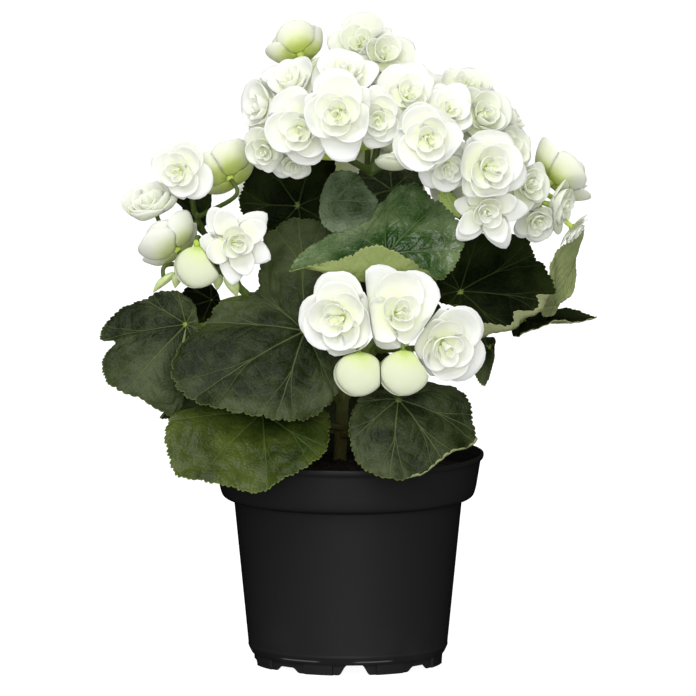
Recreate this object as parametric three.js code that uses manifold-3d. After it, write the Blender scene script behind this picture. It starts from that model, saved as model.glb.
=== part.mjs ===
// A white double-flowered winter begonia in a black nursery pot.
//
// Millimetres, +Z up. The origin is the middle of the circle that the pot stands on, and -Y is the front.
// The pot is a thin moulded cup with a rolled collar, eight drain notches in its foot and drain holes
// in its floor. Peat fills it. One main stem stands in a hole in the peat and forks into leaders, which
// end in clusters of flower stalks. Every leaf is a blade on its own leaf stalk, seated on the stem, and
// every flower sits on the end of its flower stalk.
import * as THREE from "three";
import { mergeVertices } from "three/addons/utils/BufferGeometryUtils.js";
import Module from "manifold-3d";

const wasm = await Module();
wasm.setup();

// Driving dimensions
const SEAT_GAP = 0.3;
const POT_SIDES = 28;
const POT_WALL = 1.2;
const POT = {
  footRadius: 41,
  skirtRadius: 44,
  neckRadius: 50.4,
  collarRadius: 56.2,
  rimRadius: 58.6,
  lipRadius: 60,
  footHeight: 5,
  skirtHeight: 7.4,
  neckHeight: 72.9,
  collarHeight: 76.5,
  rimHeight: 90.2,
  lipHeight: 93.4,
};
const DRAIN_NOTCHES = 8;
const NOTCH = { height: 4.5, sideHeight: 2.2, top: 6.6, bottom: 15, turn: THREE.MathUtils.degToRad(4) };
const DRAIN_HOLES = 6;
const DRAIN_HOLE_RADIUS = 3.6;
const DRAIN_HOLE_CIRCLE = 29;
const SOIL_HEIGHT = 88;
const BLADE_THICKNESS = 0.8;
const TOOTH_DEPTH = 1.5;
// How much of the hub, the knee and the margin there is in the middle of a rib, and a rib's plain arch.
const RIB_MIDDLE = { hub: 0.2, knee: 0.5, margin: 0.3 };
const RIB_ARCH = 0.06;
const PETAL_THICKNESS = 0.8;
// Leaf stalks leave the blade square to it for the length of the neck.
const LEAF_STALK_RADIUS = 1.5;
const STALK_NECK = 4;
const STALK_SIDES = 4;
const STALK_STEPS = 4;
// Flower stalks leave a leader one below the other. The one that carries a spray is thicker.
const STALK_RADIUS = 1.1;
const SPRAY_STALK_RADIUS = 1.4;
const STALK_SPACING = 3.2;
const STALK_BEND = 9;
const STALK_SWELL = 1.15;
// The most of a leader's or a stalk's length that its joints or its bend take up.
const MOST_SHARE = 0.45;
// The steps between a spray's joints, as a share of the way down from its fork.
const SPRAY_STEP = 0.25;
// How far a stalk runs into a flower that has grown together with it.
const SUNK = 1;
// A leader that starts thinner than this has fewer sides.
const MINOR_LEADER = 2;
// Slivers that a join leaves are merged when they are smaller than these.
const FINE_FACET = 0.04;
const COARSE_FACET = 0.16;

// Places read off the front view
// A place is [across, down, depth]: steps across and down a square front view of 696 steps, taken from
// a little above, and the depth behind the pot's axis in millimetres, with the front negative.
const VIEW = {
  step: 0.441,
  middle: 348,
  distance: 5000,
  tilt: THREE.MathUtils.degToRad(7.5),
  aimHeight: 139.7,
};

function at([across, down, depth]) {
  const right = ((across - VIEW.middle) * VIEW.step) / VIEW.distance;
  const up = ((VIEW.middle - down) * VIEW.step) / VIEW.distance;
  const [sin, cos] = [Math.sin(VIEW.tilt), Math.cos(VIEW.tilt)];
  const along = (depth + VIEW.distance * cos) / (cos + up * sin);
  return new THREE.Vector3(
    along * right,
    depth,
    VIEW.aimHeight + VIEW.distance * sin + along * (up * cos - sin),
  );
}

// A direction by its turn to the right of the viewer and its rise, in degrees.
function facing(turn, rise) {
  const [t, r] = [THREE.MathUtils.degToRad(turn), THREE.MathUtils.degToRad(rise)];
  return new THREE.Vector3(Math.sin(t) * Math.cos(r), -Math.cos(t) * Math.cos(r), Math.sin(r));
}

// Solids
function solidOf(geometry) {
  const bare = geometry.index ? geometry.toNonIndexed() : geometry.clone();
  for (const name of Object.keys(bare.attributes)) {
    if (name !== "position") bare.deleteAttribute(name);
  }
  const merged = mergeVertices(bare, 1e-4);
  const vertProperties = new Float32Array(merged.attributes.position.array);
  const triVerts = new Uint32Array(merged.index.array);
  const made = new wasm.Manifold(new wasm.Mesh({ numProp: 3, vertProperties, triVerts }));
  if (made.volume() > 0) return made;
  for (let i = 0; i < triVerts.length; i += 3) {
    [triVerts[i + 1], triVerts[i + 2]] = [triVerts[i + 2], triVerts[i + 1]];
  }
  return new wasm.Manifold(new wasm.Mesh({ numProp: 3, vertProperties, triVerts }));
}

function solidFrom(points, triangles) {
  const geometry = new THREE.BufferGeometry();
  geometry.setAttribute(
    "position",
    new THREE.Float32BufferAttribute(points.flatMap((p) => [p.x, p.y, p.z]), 3),
  );
  geometry.setIndex(triangles.flat());
  return solidOf(geometry);
}

function geometryOf(solid) {
  const mesh = solid.getMesh();
  const positions = [];
  for (let i = 0; i < mesh.numVert; i++) {
    positions.push(...mesh.vertProperties.subarray(i * mesh.numProp, i * mesh.numProp + 3));
  }
  const geometry = new THREE.BufferGeometry();
  geometry.setAttribute("position", new THREE.Float32BufferAttribute(positions, 3));
  geometry.setIndex([...mesh.triVerts]);
  geometry.computeVertexNormals();
  return geometry;
}

const join = (solids) => solids.reduce((sum, solid) => sum.add(solid));

function largestBody(solid) {
  return solid.decompose().reduce((best, body) => (body.volume() > best.volume() ? body : best));
}

// Finishes
const finishes = {
  pot: new THREE.MeshStandardMaterial({ color: 0x161718, roughness: 0.45, metalness: 0 }),
  soil: new THREE.MeshStandardMaterial({ color: 0x1c130c, roughness: 1, metalness: 0 }),
  stem: new THREE.MeshStandardMaterial({ color: 0x7d8c3a, roughness: 0.5, metalness: 0 }),
  leaf: new THREE.MeshStandardMaterial({ color: 0x2c4420, roughness: 0.4, metalness: 0 }),
  youngLeaf: new THREE.MeshStandardMaterial({ color: 0xb4c878, roughness: 0.5, metalness: 0 }),
  petal: new THREE.MeshStandardMaterial({ color: 0xf6f8f0, roughness: 0.55, metalness: 0 }),
  greenPetal: new THREE.MeshStandardMaterial({ color: 0xe3ecbc, roughness: 0.55, metalness: 0 }),
};

const begonia = new THREE.Group();

function addNode(name, whole, finish, smallestFacet = FINE_FACET) {
  const solid = largestBody(whole.simplify(smallestFacet));
  const mesh = new THREE.Mesh(geometryOf(solid), finishes[finish]);
  mesh.name = name;
  begonia.add(mesh);
}

// Pot
function lathe(profile) {
  const points = [...profile, profile[0]].map(([r, z]) => new THREE.Vector2(r, z));
  const geometry = new THREE.LatheGeometry(points, POT_SIDES);
  geometry.rotateX(Math.PI / 2);
  return solidOf(geometry);
}

function potSolid() {
  const p = POT;
  const floorTop = p.footHeight + POT_WALL;
  const cup = lathe([
    [0, p.footHeight],
    [p.footRadius - 2, p.footHeight],
    [p.footRadius - 1.8, 0],
    [p.footRadius, 0],
    [p.footRadius + 0.7, p.footHeight - 0.6],
    [p.skirtRadius, p.skirtHeight],
    [p.neckRadius, p.neckHeight],
    [p.collarRadius - 1.4, p.neckHeight + 1.3],
    [p.collarRadius, p.collarHeight],
    [p.rimRadius, p.rimHeight],
    [p.lipRadius, p.rimHeight + 1.4],
    [p.lipRadius - 0.3, p.lipHeight],
    [p.rimRadius - POT_WALL, p.rimHeight],
    [p.collarRadius - POT_WALL - 0.1, p.collarHeight],
    [p.neckRadius - POT_WALL, p.neckHeight + 0.9],
    [p.skirtRadius - POT_WALL, p.skirtHeight],
    [p.skirtRadius - POT_WALL - 1.4, floorTop],
    [0, floorTop],
  ]);
  const cutters = [];
  for (let i = 0; i < DRAIN_NOTCHES; i++) {
    const height = i % 4 ? NOTCH.sideHeight : NOTCH.height;
    const outline = new THREE.Shape([
      new THREE.Vector2(-NOTCH.bottom / 2, -1),
      new THREE.Vector2(NOTCH.bottom / 2, -1),
      new THREE.Vector2(NOTCH.top / 2, height),
      new THREE.Vector2(-NOTCH.top / 2, height),
    ]);
    const notch = new THREE.ExtrudeGeometry(outline, { depth: 12, bevelEnabled: false });
    notch.rotateX(Math.PI / 2);
    notch.translate(0, -(p.footRadius - 6), 0);
    notch.rotateZ(NOTCH.turn + (i * 2 * Math.PI) / DRAIN_NOTCHES);
    cutters.push(solidOf(notch));
  }
  for (let i = 0; i < DRAIN_HOLES; i++) {
    const hole = new THREE.CylinderGeometry(DRAIN_HOLE_RADIUS, DRAIN_HOLE_RADIUS, 6, 8);
    hole.rotateX(Math.PI / 2);
    hole.translate(DRAIN_HOLE_CIRCLE, 0, p.footHeight);
    hole.rotateZ((i * 2 * Math.PI) / DRAIN_HOLES);
    cutters.push(solidOf(hole));
  }
  return cup.subtract(join(cutters));
}

// Stems and stalks
const smooth = (places) => new THREE.CatmullRomCurve3(places, false, "centripetal");

// Rings of corners round a curve. The first corner keeps to the side that it starts on.
function ringsAlong(curve, steps, radiusAt, sides, firstSide, handed = 1) {
  const side = firstSide.clone();
  return Array.from({ length: steps + 1 }, (_, i) => {
    const centre = curve.getPointAt(i / steps);
    const tangent = curve.getTangentAt(i / steps);
    side.addScaledVector(tangent, -side.dot(tangent)).normalize();
    const other = new THREE.Vector3().crossVectors(tangent, side);
    return Array.from({ length: sides }, (_, k) => {
      const turn = (handed * k * 2 * Math.PI) / sides;
      return centre
        .clone()
        .addScaledVector(side, radiusAt(i / steps) * Math.cos(turn))
        .addScaledVector(other, radiusAt(i / steps) * Math.sin(turn));
    });
  });
}

// A closed round limb along a smooth curve, thinning evenly from one radius to another.
function limb(places, startRadius, endRadius, { sides = 5, steps = 3, grow = 0 } = {}) {
  const radiusAt = (share) => THREE.MathUtils.lerp(startRadius, endRadius, share) + grow;
  const curve = smooth(places);
  const tangent = curve.getTangentAt(0);
  const firstSide = new THREE.Vector3(0.3, -1, 0.2).cross(tangent);
  const points = ringsAlong(curve, steps, radiusAt, sides, firstSide).flat();
  const triangles = [];
  for (let i = 0; i < steps; i++) {
    for (let k = 0; k < sides; k++) {
      const [a, b] = [i * sides + k, i * sides + ((k + 1) % sides)];
      triangles.push([a, b, b + sides], [a, b + sides, a + sides]);
    }
  }
  const last = steps * sides;
  for (let k = 1; k < sides - 1; k++) {
    triangles.push([0, k + 1, k], [last, last + k, last + k + 1]);
  }
  return solidFrom(points, triangles);
}

// The main stem and its leaders: [start radius, end radius, places along it].
const LEADERS = {
  main: [3.2, 2.7, [[340, 505, 10], [340, 460, 9], [341, 430, 5], [343, 398, 2]]],
  middle: [2.7, 1.9, [[343, 398, 2], [350, 340, 4], [355, 280, 8], [362, 225, 10], [372, 172, 6]]],
  right: [2.3, 1.8, [[343, 400, 2], [370, 355, 12], [408, 310, 14], [452, 262, 6], [494, 208, -4]]],
  left: [2.3, 1.7, [[343, 405, 2], [322, 370, 10], [285, 330, 10], [242, 290, 4], [208, 256, -4]]],
  front: [1.8, 1.5, [[348, 368, 3], [353, 359, -22], [366, 352, -48]]],
  frontRight: [1.6, 1.4, [[353, 359, -22], [390, 366, -40], [424, 362, -48]]],
  crownLeft: [1.7, 1.4, [[372, 172, 6], [350, 160, 0], [322, 142, -4]]],
  crownTop: [1.7, 1.4, [[372, 172, 6], [378, 140, 6], [374, 98, 4]]],
  crownRight: [1.7, 1.4, [[372, 172, 6], [405, 155, 2], [442, 136, -8]]],
  farRight: [1.6, 1.3, [[494, 208, -4], [520, 212, 0], [548, 214, 2]]],
  farLeft: [1.5, 1.3, [[225, 272, 0], [210, 244, 12], [194, 212, 6]]],
  backCrown: [1.7, 1.4, [[362, 225, 10], [366, 190, 26], [368, 150, 34]]],
  backLow: [1.6, 1.4, [[357, 250, 9], [362, 225, 30], [366, 205, 42]]],
  backLeft: [1.7, 1.4, [[285, 330, 10], [272, 270, 26], [262, 215, 30]]],
  backRight: [1.7, 1.4, [[408, 310, 14], [430, 240, 28], [452, 185, 32]]],
};

function leaderSolid([start, end, places], grow) {
  const sides = start > MINOR_LEADER ? 5 : 4;
  return limb(places.map(at), start, end, { sides, steps: 2 * places.length - 2, grow });
}

const leaderSolids = (grow) => Object.values(LEADERS).map((leader) => leaderSolid(leader, grow));

// Leaves
// A leaf is a fan of ribs from the hub, where the leaf stalk meets the blade, to the margin. A rib bends
// through a knee halfway between them.
//   hub      place of the hub
//   margin   places round the margin
//   arch     how far the ribs rise above a straight line, as a share of their length
//   stalk    places from the stem to just short of the hub
//   teeth    number of teeth cut in the margin
const LEAVES = {
  leaf_left_tip: {
    hub: [186, 324, -27],
    margin: [
      [197, 309, -25], [189, 296, -22], [168, 290, -20], [139, 300, -20], [121, 307, -19],
      [104, 326, -20], [99, 338, -24], [114, 342, -28], [103, 357, -28], [101, 371, -30],
      [109, 386, -34], [142, 401, -36], [172, 417, -36], [182, 404, -34], [176, 372, -32],
      [184, 352, -30], [196, 340, -28],
    ],
    arch: 0.06,
    stalk: [[268, 316, 6], [230, 322, -6]],
    teeth: 16,
  },
  leaf_left_back: {
    hub: [212, 300, 10],
    margin: [
      [218, 292, 12], [204, 280, 16], [190, 284, 16], [178, 300, 12], [182, 320, 6],
      [196, 334, 1], [214, 330, 0], [222, 314, 5],
    ],
    arch: 0.05,
    stalk: [[250, 297, 5], [232, 300, 10]],
    teeth: 10,
  },
  leaf_big_left: {
    hub: [305, 330, -40],
    margin: [
      [334, 227, 2], [310, 219, 5], [284, 223, 4], [264, 234, 2], [258, 262, -8],
      [256, 291, -20], [243, 299, -25], [215, 303, -30], [204, 322, -34], [190, 336, -40],
      [172, 360, -46], [172, 382, -52], [188, 399, -56], [214, 409, -60], [246, 416, -62],
      [282, 421, -63], [308, 420, -60], [330, 405, -56], [341, 384, -50], [339, 350, -44],
      [322, 334, -41], [338, 306, -34], [346, 272, -18], [344, 244, -4],
    ],
    arch: 0.07,
    stalk: [[342, 402, 2], [328, 366, -14]],
    teeth: 18,
  },
  leaf_pot_left: {
    hub: [262, 413, -41],
    margin: [
      [282, 402, -34], [246, 398, -36], [208, 402, -42], [172, 417, -50], [164, 434, -56],
      [167, 455, -62], [176, 476, -66], [204, 483, -68], [234, 489, -70], [258, 493, -71],
      [282, 481, -70], [308, 468, -66], [326, 452, -60], [331, 430, -50], [326, 411, -40],
    ],
    arch: 0.09,
    stalk: [[342, 428, 3], [312, 424, -14]],
    teeth: 18,
  },
  leaf_pot_right: {
    hub: [398, 399, -56],
    margin: [
      [386, 388, -50], [366, 394, -53], [353, 407, -58], [348, 424, -63], [350, 444, -68],
      [356, 462, -72], [372, 475, -75], [400, 481, -77], [420, 475, -75], [448, 456, -68],
      [477, 440, -56], [474, 420, -52], [470, 402, -49], [460, 388, -46], [432, 383, -46],
      [410, 388, -50],
    ],
    arch: 0.07,
    stalk: [[343, 436, 3], [366, 428, -22]],
    teeth: 18,
  },
  leaf_right_dark: {
    hub: [460, 291, -28],
    margin: [
      [440, 302, -30], [438, 284, -27], [450, 274, -23], [460, 260, -17], [464, 242, -10],
      [480, 235, -6], [505, 233, -3], [528, 233, -2], [534, 256, -8], [548, 268, -13],
      [557, 290, -22], [550, 304, -28], [534, 318, -34], [510, 332, -38], [480, 342, -40],
      [468, 324, -37], [460, 308, -33],
    ],
    arch: 0.06,
    stalk: [[436, 278, 9], [448, 286, -8]],
    teeth: 18,
  },
  leaf_middle: {
    hub: [386, 254, -40],
    margin: [
      [412, 183, -14], [390, 193, -16], [375, 206, -18], [362, 223, -22], [334, 235, -30],
      [309, 245, -38], [288, 269, -50], [322, 262, -56], [346, 256, -58], [374, 244, -58],
      [402, 254, -58], [427, 271, -54], [440, 281, -46], [456, 267, -40], [463, 250, -36],
      [466, 234, -32], [454, 212, -26], [434, 196, -19],
    ],
    knees: {
      7: [330, 273, -53], 8: [352, 280, -56], 9: [374, 282, -57], 10: [398, 279, -55],
      11: [415, 272, -50],
    },
    arch: 0.05,
    stalk: [[357, 262, 9], [368, 264, -14]],
    teeth: 18,
  },
  leaf_upper: {
    hub: [335, 201, -12],
    margin: [
      [337, 176, -4], [352, 178, -6], [364, 189, -10], [375, 202, -14], [365, 214, -18],
      [352, 225, -22], [334, 225, -22], [325, 219, -19], [322, 205, -14], [326, 188, -8],
    ],
    arch: 0.06,
    stalk: [[361, 228, 10], [350, 214, -1]],
    teeth: 12,
  },
  leaf_shade: {
    hub: [298, 206, 8],
    margin: [
      [320, 166, 18], [290, 160, 18], [262, 166, 14], [252, 182, 11], [242, 204, 11],
      [252, 226, 9], [276, 240, 10], [304, 238, 10], [318, 222, 10], [322, 200, 12],
    ],
    arch: 0.06,
    stalk: [[352, 250, 9], [326, 228, 12]],
    teeth: 14,
  },
  leaf_under_bud: {
    hub: [392, 190, 2],
    margin: [
      [380, 168, 8], [366, 178, 6], [372, 195, 0], [388, 203, -4], [410, 200, -3],
      [424, 186, 2], [416, 170, 7], [398, 162, 10],
    ],
    arch: 0.05,
    stalk: [[363, 216, 10], [378, 202, 8]],
    teeth: 10,
  },
  leaf_right_pale: {
    hub: [554, 306, -6],
    margin: [
      [562, 300, -2], [571, 296, 0], [576, 276, 6], [577, 256, 12], [578, 242, 17], [585, 228, 22],
      [572, 240, 15], [559, 247, 8], [552, 262, -4], [548, 280, -8], [543, 298, -12],
      [542, 316, -12], [552, 316, -8],
    ],
    arch: 0.05,
    stalk: [[448, 268, 7], [500, 298, 7]],
    teeth: 14,
  },
  leaf_right_low: {
    hub: [522, 322, -12],
    margin: [
      [512, 314, -8], [530, 310, -4], [556, 308, 2], [580, 311, 2], [598, 318, -4],
      [578, 321, -16], [556, 322, -26], [534, 329, -28], [518, 337, -27], [510, 328, -18],
    ],
    arch: 0.04,
    stalk: [[426, 292, 11], [480, 312, 2]],
    teeth: 12,
  },
  leaf_right_hanging: {
    hub: [487, 346, -14],
    margin: [
      [480, 338, -10], [494, 338, -8], [495, 352, -14], [493, 366, -18], [489, 378, -22],
      [484, 387, -26], [477, 380, -24], [474, 368, -22], [475, 356, -18],
    ],
    arch: 0.05,
    stalk: [[376, 350, 12], [440, 348, 2]],
    teeth: 10,
  },
  leaf_far_left: {
    hub: [198, 218, 14],
    margin: [
      [206, 226, 12], [212, 204, 18], [206, 176, 24], [194, 156, 28], [176, 148, 28],
      [157, 152, 24], [160, 172, 18], [172, 194, 12], [184, 212, 8], [190, 228, 8],
    ],
    arch: 0.06,
    stalk: [[240, 288, 4], [222, 252, 14]],
    teeth: 12,
  },
  leaf_bract: {
    hub: [452, 206, -22],
    margin: [
      [461, 218, -24], [466, 208, -22], [458, 198, -18], [446, 190, -16], [438, 194, -18],
      [442, 206, -22], [450, 214, -24],
    ],
    arch: 0.04,
    stalk: [[474, 236, 2], [462, 218, -12]],
    teeth: 8,
    young: true,
  },
};

// Leaves behind the plant follow one rule. heading and droop are degrees, length is the whole blade's.
const BACK_LEAVES = {
  leaf_back_low: {
    hub: [345, 366, 36], heading: 176, droop: 36, length: 76,
    stalk: [[343, 410, 3], [344, 380, 22]],
  },
  leaf_back_left: {
    hub: [266, 348, 30], heading: 230, droop: 30, length: 80,
    stalk: [[320, 372, 10], [292, 352, 20]],
  },
  leaf_back_right: {
    hub: [416, 308, 34], heading: 150, droop: 12, length: 66,
    stalk: [[384, 338, 13], [400, 328, 26]],
  },
  leaf_back_high: {
    hub: [346, 262, 34], heading: 190, droop: 24, length: 70,
    stalk: [[358, 236, 10], [352, 254, 24]],
  },
};

// The margin is a lopsided heart with a notch at the leaf stalk. It falls away towards its tip and waves.
function marginRule({ hub, heading, droop, length }) {
  const centre = at(hub);
  const along = facing(heading, -droop);
  const normal = facing(heading, 90 - droop);
  const side = new THREE.Vector3().crossVectors(normal, along);
  const places = [];
  const count = 16;
  for (let i = 0; i < count; i++) {
    const angle = -Math.PI + ((i + 0.5) * 2 * Math.PI) / count;
    const sinus = 1 - 0.6 * Math.exp(-(((Math.PI - Math.abs(angle)) / 0.25) ** 2));
    const lobe = angle > 0 ? 1.08 : 0.94;
    const reach = length * (0.45 + 0.19 * Math.cos(angle) + 0.07 * Math.cos(2 * angle)) * sinus * lobe;
    const fall = 0.2 * (reach / length) ** 2 * length;
    const wave = 0.035 * length * Math.sin(5 * angle);
    places.push(
      centre
        .clone()
        .addScaledVector(along, reach * Math.cos(angle))
        .addScaledVector(side, reach * Math.sin(angle))
        .addScaledVector(normal, wave - fall),
    );
  }
  return places;
}

// The hub, the knees' curve and the margin's curve, running round so that the leaf stalk is underneath.
function leafForm(leaf) {
  const hub = at(leaf.hub);
  const margin = leaf.margin ? leaf.margin.map(at) : marginRule(leaf);
  const from = at(leaf.stalk.at(-1)).sub(hub);
  const face = new THREE.Vector3();
  margin.forEach((place, i) => {
    const next = margin[(i + 1) % margin.length];
    face.add(new THREE.Vector3().subVectors(place, hub).cross(new THREE.Vector3().subVectors(next, hub)));
  });
  face.normalize();
  const front = face.dot(from) > 0 ? -1 : 1;
  const rise = face.clone().multiplyScalar(front);
  const knees = margin.map((place, i) => {
    if (leaf.knees?.[i]) return at(leaf.knees[i]);
    const arch = (leaf.arch ?? RIB_ARCH) * hub.distanceTo(place);
    return hub.clone().lerp(place, 0.5).addScaledVector(rise, arch);
  });
  if (front < 0) [margin, knees].forEach((list) => list.reverse());
  const closed = (places) => new THREE.CatmullRomCurve3(places, true, "centripetal");
  return { hub, edge: closed(margin), knee: closed(knees) };
}

// A toothed blade of even thickness. Both of its faces are the same fan of ribs, but that the lower
// one has the leaf stalk growing out of its hub.
function leafSolid(leaf, grownStem) {
  const { hub, edge, knee } = leafForm(leaf);
  const teeth = leaf.teeth ?? 12;
  const ribs = teeth / 2;
  const rim = [];
  for (let i = 0; i < 2 * teeth; i++) {
    const tip = edge.getPoint(i / (2 * teeth));
    if (i % 2) tip.addScaledVector(tip.clone().sub(hub).normalize(), -TOOTH_DEPTH);
    rim.push(tip);
  }
  const ring = [];
  for (let i = 0; i < ribs; i++) {
    const bend = knee.getPoint(i / ribs);
    ring.push(
      hub
        .clone()
        .multiplyScalar(RIB_MIDDLE.hub)
        .addScaledVector(bend, RIB_MIDDLE.knee)
        .addScaledVector(rim[4 * i], RIB_MIDDLE.margin),
    );
  }
  const sheet = [hub, ...ring, ...rim];
  const rimStart = 1 + ribs;
  const fan = [];
  const web = [];
  for (let i = 0; i < ribs; i++) {
    const [a, b] = [1 + i, 1 + ((i + 1) % ribs)];
    const [p, q, r, s, t] = [0, 1, 2, 3, 4].map((k) => rimStart + ((4 * i + k) % (2 * teeth)));
    fan.push([0, a, b]);
    web.push([a, p, q], [a, q, r], [a, r, b], [r, s, b], [s, t, b]);
  }
  const normals = sheet.map(() => new THREE.Vector3());
  for (const [a, b, c] of [...fan, ...web]) {
    const face = new THREE.Vector3()
      .subVectors(sheet[b], sheet[a])
      .cross(new THREE.Vector3().subVectors(sheet[c], sheet[a]));
    for (const k of [a, b, c]) normals[k].add(face);
  }
  normals.forEach((n) => n.normalize());
  const points = [
    ...sheet.map((p, i) => p.clone().addScaledVector(normals[i], BLADE_THICKNESS / 2)),
    ...sheet.map((p, i) => p.clone().addScaledVector(normals[i], -BLADE_THICKNESS / 2)),
  ];
  const n = sheet.length;
  const triangles = [...fan, ...web, ...web.map(([a, b, c]) => [a + n, c + n, b + n])];
  for (let i = 0; i < 2 * teeth; i++) {
    const [a, b] = [rimStart + i, rimStart + ((i + 1) % (2 * teeth))];
    triangles.push([a, a + n, b + n], [a, b + n, b]);
  }
  growStalk(leaf, points, triangles, { under: n, ribs, normal: normals[0] });
  return largestBody(solidFrom(points, triangles).subtract(grownStem));
}

// The leaf stalk leaves the lower face square to it and bends over to the stem.
function growStalk(leaf, points, triangles, { under, ribs, normal }) {
  const start = points[under];
  const away = start.clone().addScaledVector(normal, -STALK_NECK);
  const curve = smooth([start, away, ...leaf.stalk.map(at).reverse()]);
  const spoke = (i) => {
    const way = points[under + 1 + (i % ribs)].clone().sub(start);
    return way.addScaledVector(normal, -way.dot(normal)).normalize();
  };
  const radiusAt = (share) => LEAF_STALK_RADIUS * THREE.MathUtils.lerp(0.8, 1, share);
  const rings = ringsAlong(curve, STALK_STEPS, radiusAt, STALK_SIDES, spoke(0), -1);
  const first = points.length;
  points.push(...rings.flat());
  const corner = (i, k) => first + i * STALK_SIDES + (k % STALK_SIDES);
  let turned = 0;
  let reached = 0;
  for (let i = 0; i < ribs; i++) {
    const [a, b] = [under + 1 + i, under + 1 + ((i + 1) % ribs)];
    triangles.push([corner(0, reached), b, a]);
    const [here, next] = [spoke(i), spoke(i + 1)];
    turned += Math.max(0, Math.atan2(here.clone().cross(next).dot(normal), here.dot(next)));
    const share = i + 1 === ribs ? 1 : Math.min(1, turned / (2 * Math.PI));
    const target = Math.round(share * STALK_SIDES);
    for (; reached < target; reached++) {
      triangles.push([corner(0, reached), corner(0, reached + 1), b]);
    }
  }
  for (let i = 0; i < STALK_STEPS; i++) {
    for (let k = 0; k < STALK_SIDES; k++) {
      const [a, b] = [corner(i, k), corner(i, k + 1)];
      const [c, d] = [corner(i + 1, k + 1), corner(i + 1, k)];
      triangles.push([a, d, c], [a, c, b]);
    }
  }
  for (let k = 1; k < STALK_SIDES - 1; k++) {
    triangles.push([corner(STALK_STEPS, 0), corner(STALK_STEPS, k + 1), corner(STALK_STEPS, k)]);
  }
}

// Flowers
// An open flower is a short six-sided core. Two rings of three broad petals grow from its sides, one
// above the other, and the top of the core is the closed heart of small petals.
//   place   the middle of the flower
//   radius  from the axis to the outer petals' tips
//   turn    degrees to the right of the viewer that it faces, rise its degrees upwards
//   roll    turn of its petals about its axis
//   joint   the leader that its stalk leaves
//   cupped  half open, its petals rising steeply
const FLOWERS = {
  flower_crown_front: {
    place: [338, 110, -50], radius: 17.5, turn: -4, rise: 12, roll: 10, joint: "crownLeft",
  },
  flower_crown_left: {
    place: [296, 128, -38], radius: 16.5, turn: -16, rise: 4, roll: 40, joint: "crownLeft",
  },
  flower_left_shoulder: {
    place: [258, 104, -14], radius: 16, turn: -58, rise: 12, roll: 75, joint: "crownLeft",
  },
  flower_left_top: {
    place: [285, 78, -14], radius: 15, turn: -34, rise: 44, roll: 20, joint: "crownLeft",
  },
  flower_top_front: {
    place: [346, 70, -24], radius: 16, turn: -4, rise: 52, roll: 35, joint: "crownTop",
  },
  flower_middle_small: {
    place: [379, 118, -42], radius: 12, turn: 2, rise: 2, roll: 55, joint: "crownTop",
  },
  flower_middle: {
    place: [407, 94, -30], radius: 15, turn: 10, rise: 26, roll: 15, joint: "crownTop",
  },
  flower_crown_right: {
    place: [427, 136, -50], radius: 16, turn: 4, rise: 12, roll: 30, joint: "crownRight",
  },
  flower_right_small: {
    place: [449, 168, -42], radius: 11, turn: 10, rise: -16, roll: 70, joint: "crownRight",
  },
  flower_right_inner: {
    place: [452, 106, -34], radius: 13, turn: 12, rise: 30, roll: 5, joint: "crownRight",
  },
  flower_right_front: {
    place: [489, 168, -46], radius: 17, turn: 18, rise: 8, roll: 50, joint: "right",
  },
  flower_right_low: {
    place: [490, 215, -42], radius: 15.5, turn: 12, rise: -10, roll: 25, joint: "right",
  },
  flower_left_front: {
    place: [178, 170, -16], radius: 12.5, turn: -14, rise: 4, roll: 20, joint: "farLeft",
  },
  flower_left_high: {
    place: [224, 167, 2], radius: 17, turn: -150, rise: 40, roll: 80, joint: "farLeft",
    cupped: true, green: true,
  },
  flower_left_edge: {
    place: [151, 201, -8], radius: 14, turn: -42, rise: 58, roll: 30, joint: "farLeft",
    cupped: true,
  },
  flower_left_low: {
    place: [169, 240, -12], radius: 16, turn: -132, rise: 38, roll: 60, joint: "left",
    cupped: true,
  },
  flower_left_star: {
    place: [234, 243, -32], radius: 15.5, turn: 6, rise: 4, roll: 0, joint: "left",
  },
  flower_front_left: {
    place: [340, 319, -68], radius: 17.5, turn: -14, rise: 0, roll: 25, joint: "front",
  },
  flower_front_middle: {
    place: [398, 312, -66], radius: 19.5, turn: 10, rise: 14, roll: 55, joint: "front",
  },
  flower_front_right: {
    place: [446, 346, -66], radius: 18, turn: 18, rise: -10, roll: 10, joint: "frontRight",
  },
};

// A closed flower bud is two round petals laid face to face, flat towards the viewer.
const BUDS = {
  bud_left: { place: [197, 267, -30], radius: 9.6, turn: 0, rise: -70, joint: "left" },
  bud_front_left: { place: [358, 374, -68], radius: 10, turn: 0, rise: -72, joint: "front" },
  bud_front_right: { place: [403, 373, -68], radius: 10.2, turn: 0, rise: -72, joint: "frontRight" },
  bud_middle: { place: [393, 162, -40], radius: 7.6, turn: -20, rise: 20, joint: "crownRight" },
};

// Green buds too young to show a petal. They are part of the stem: [place, radius, joint].
const GREEN_BUDS = [
  [[164, 281, -16], 3.2, "left"],
  [[177, 279, -22], 2.6, "left"],
  [[232, 284, -26], 3.6, "left"],
  [[218, 281, -20], 2.6, "left"],
];

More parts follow.
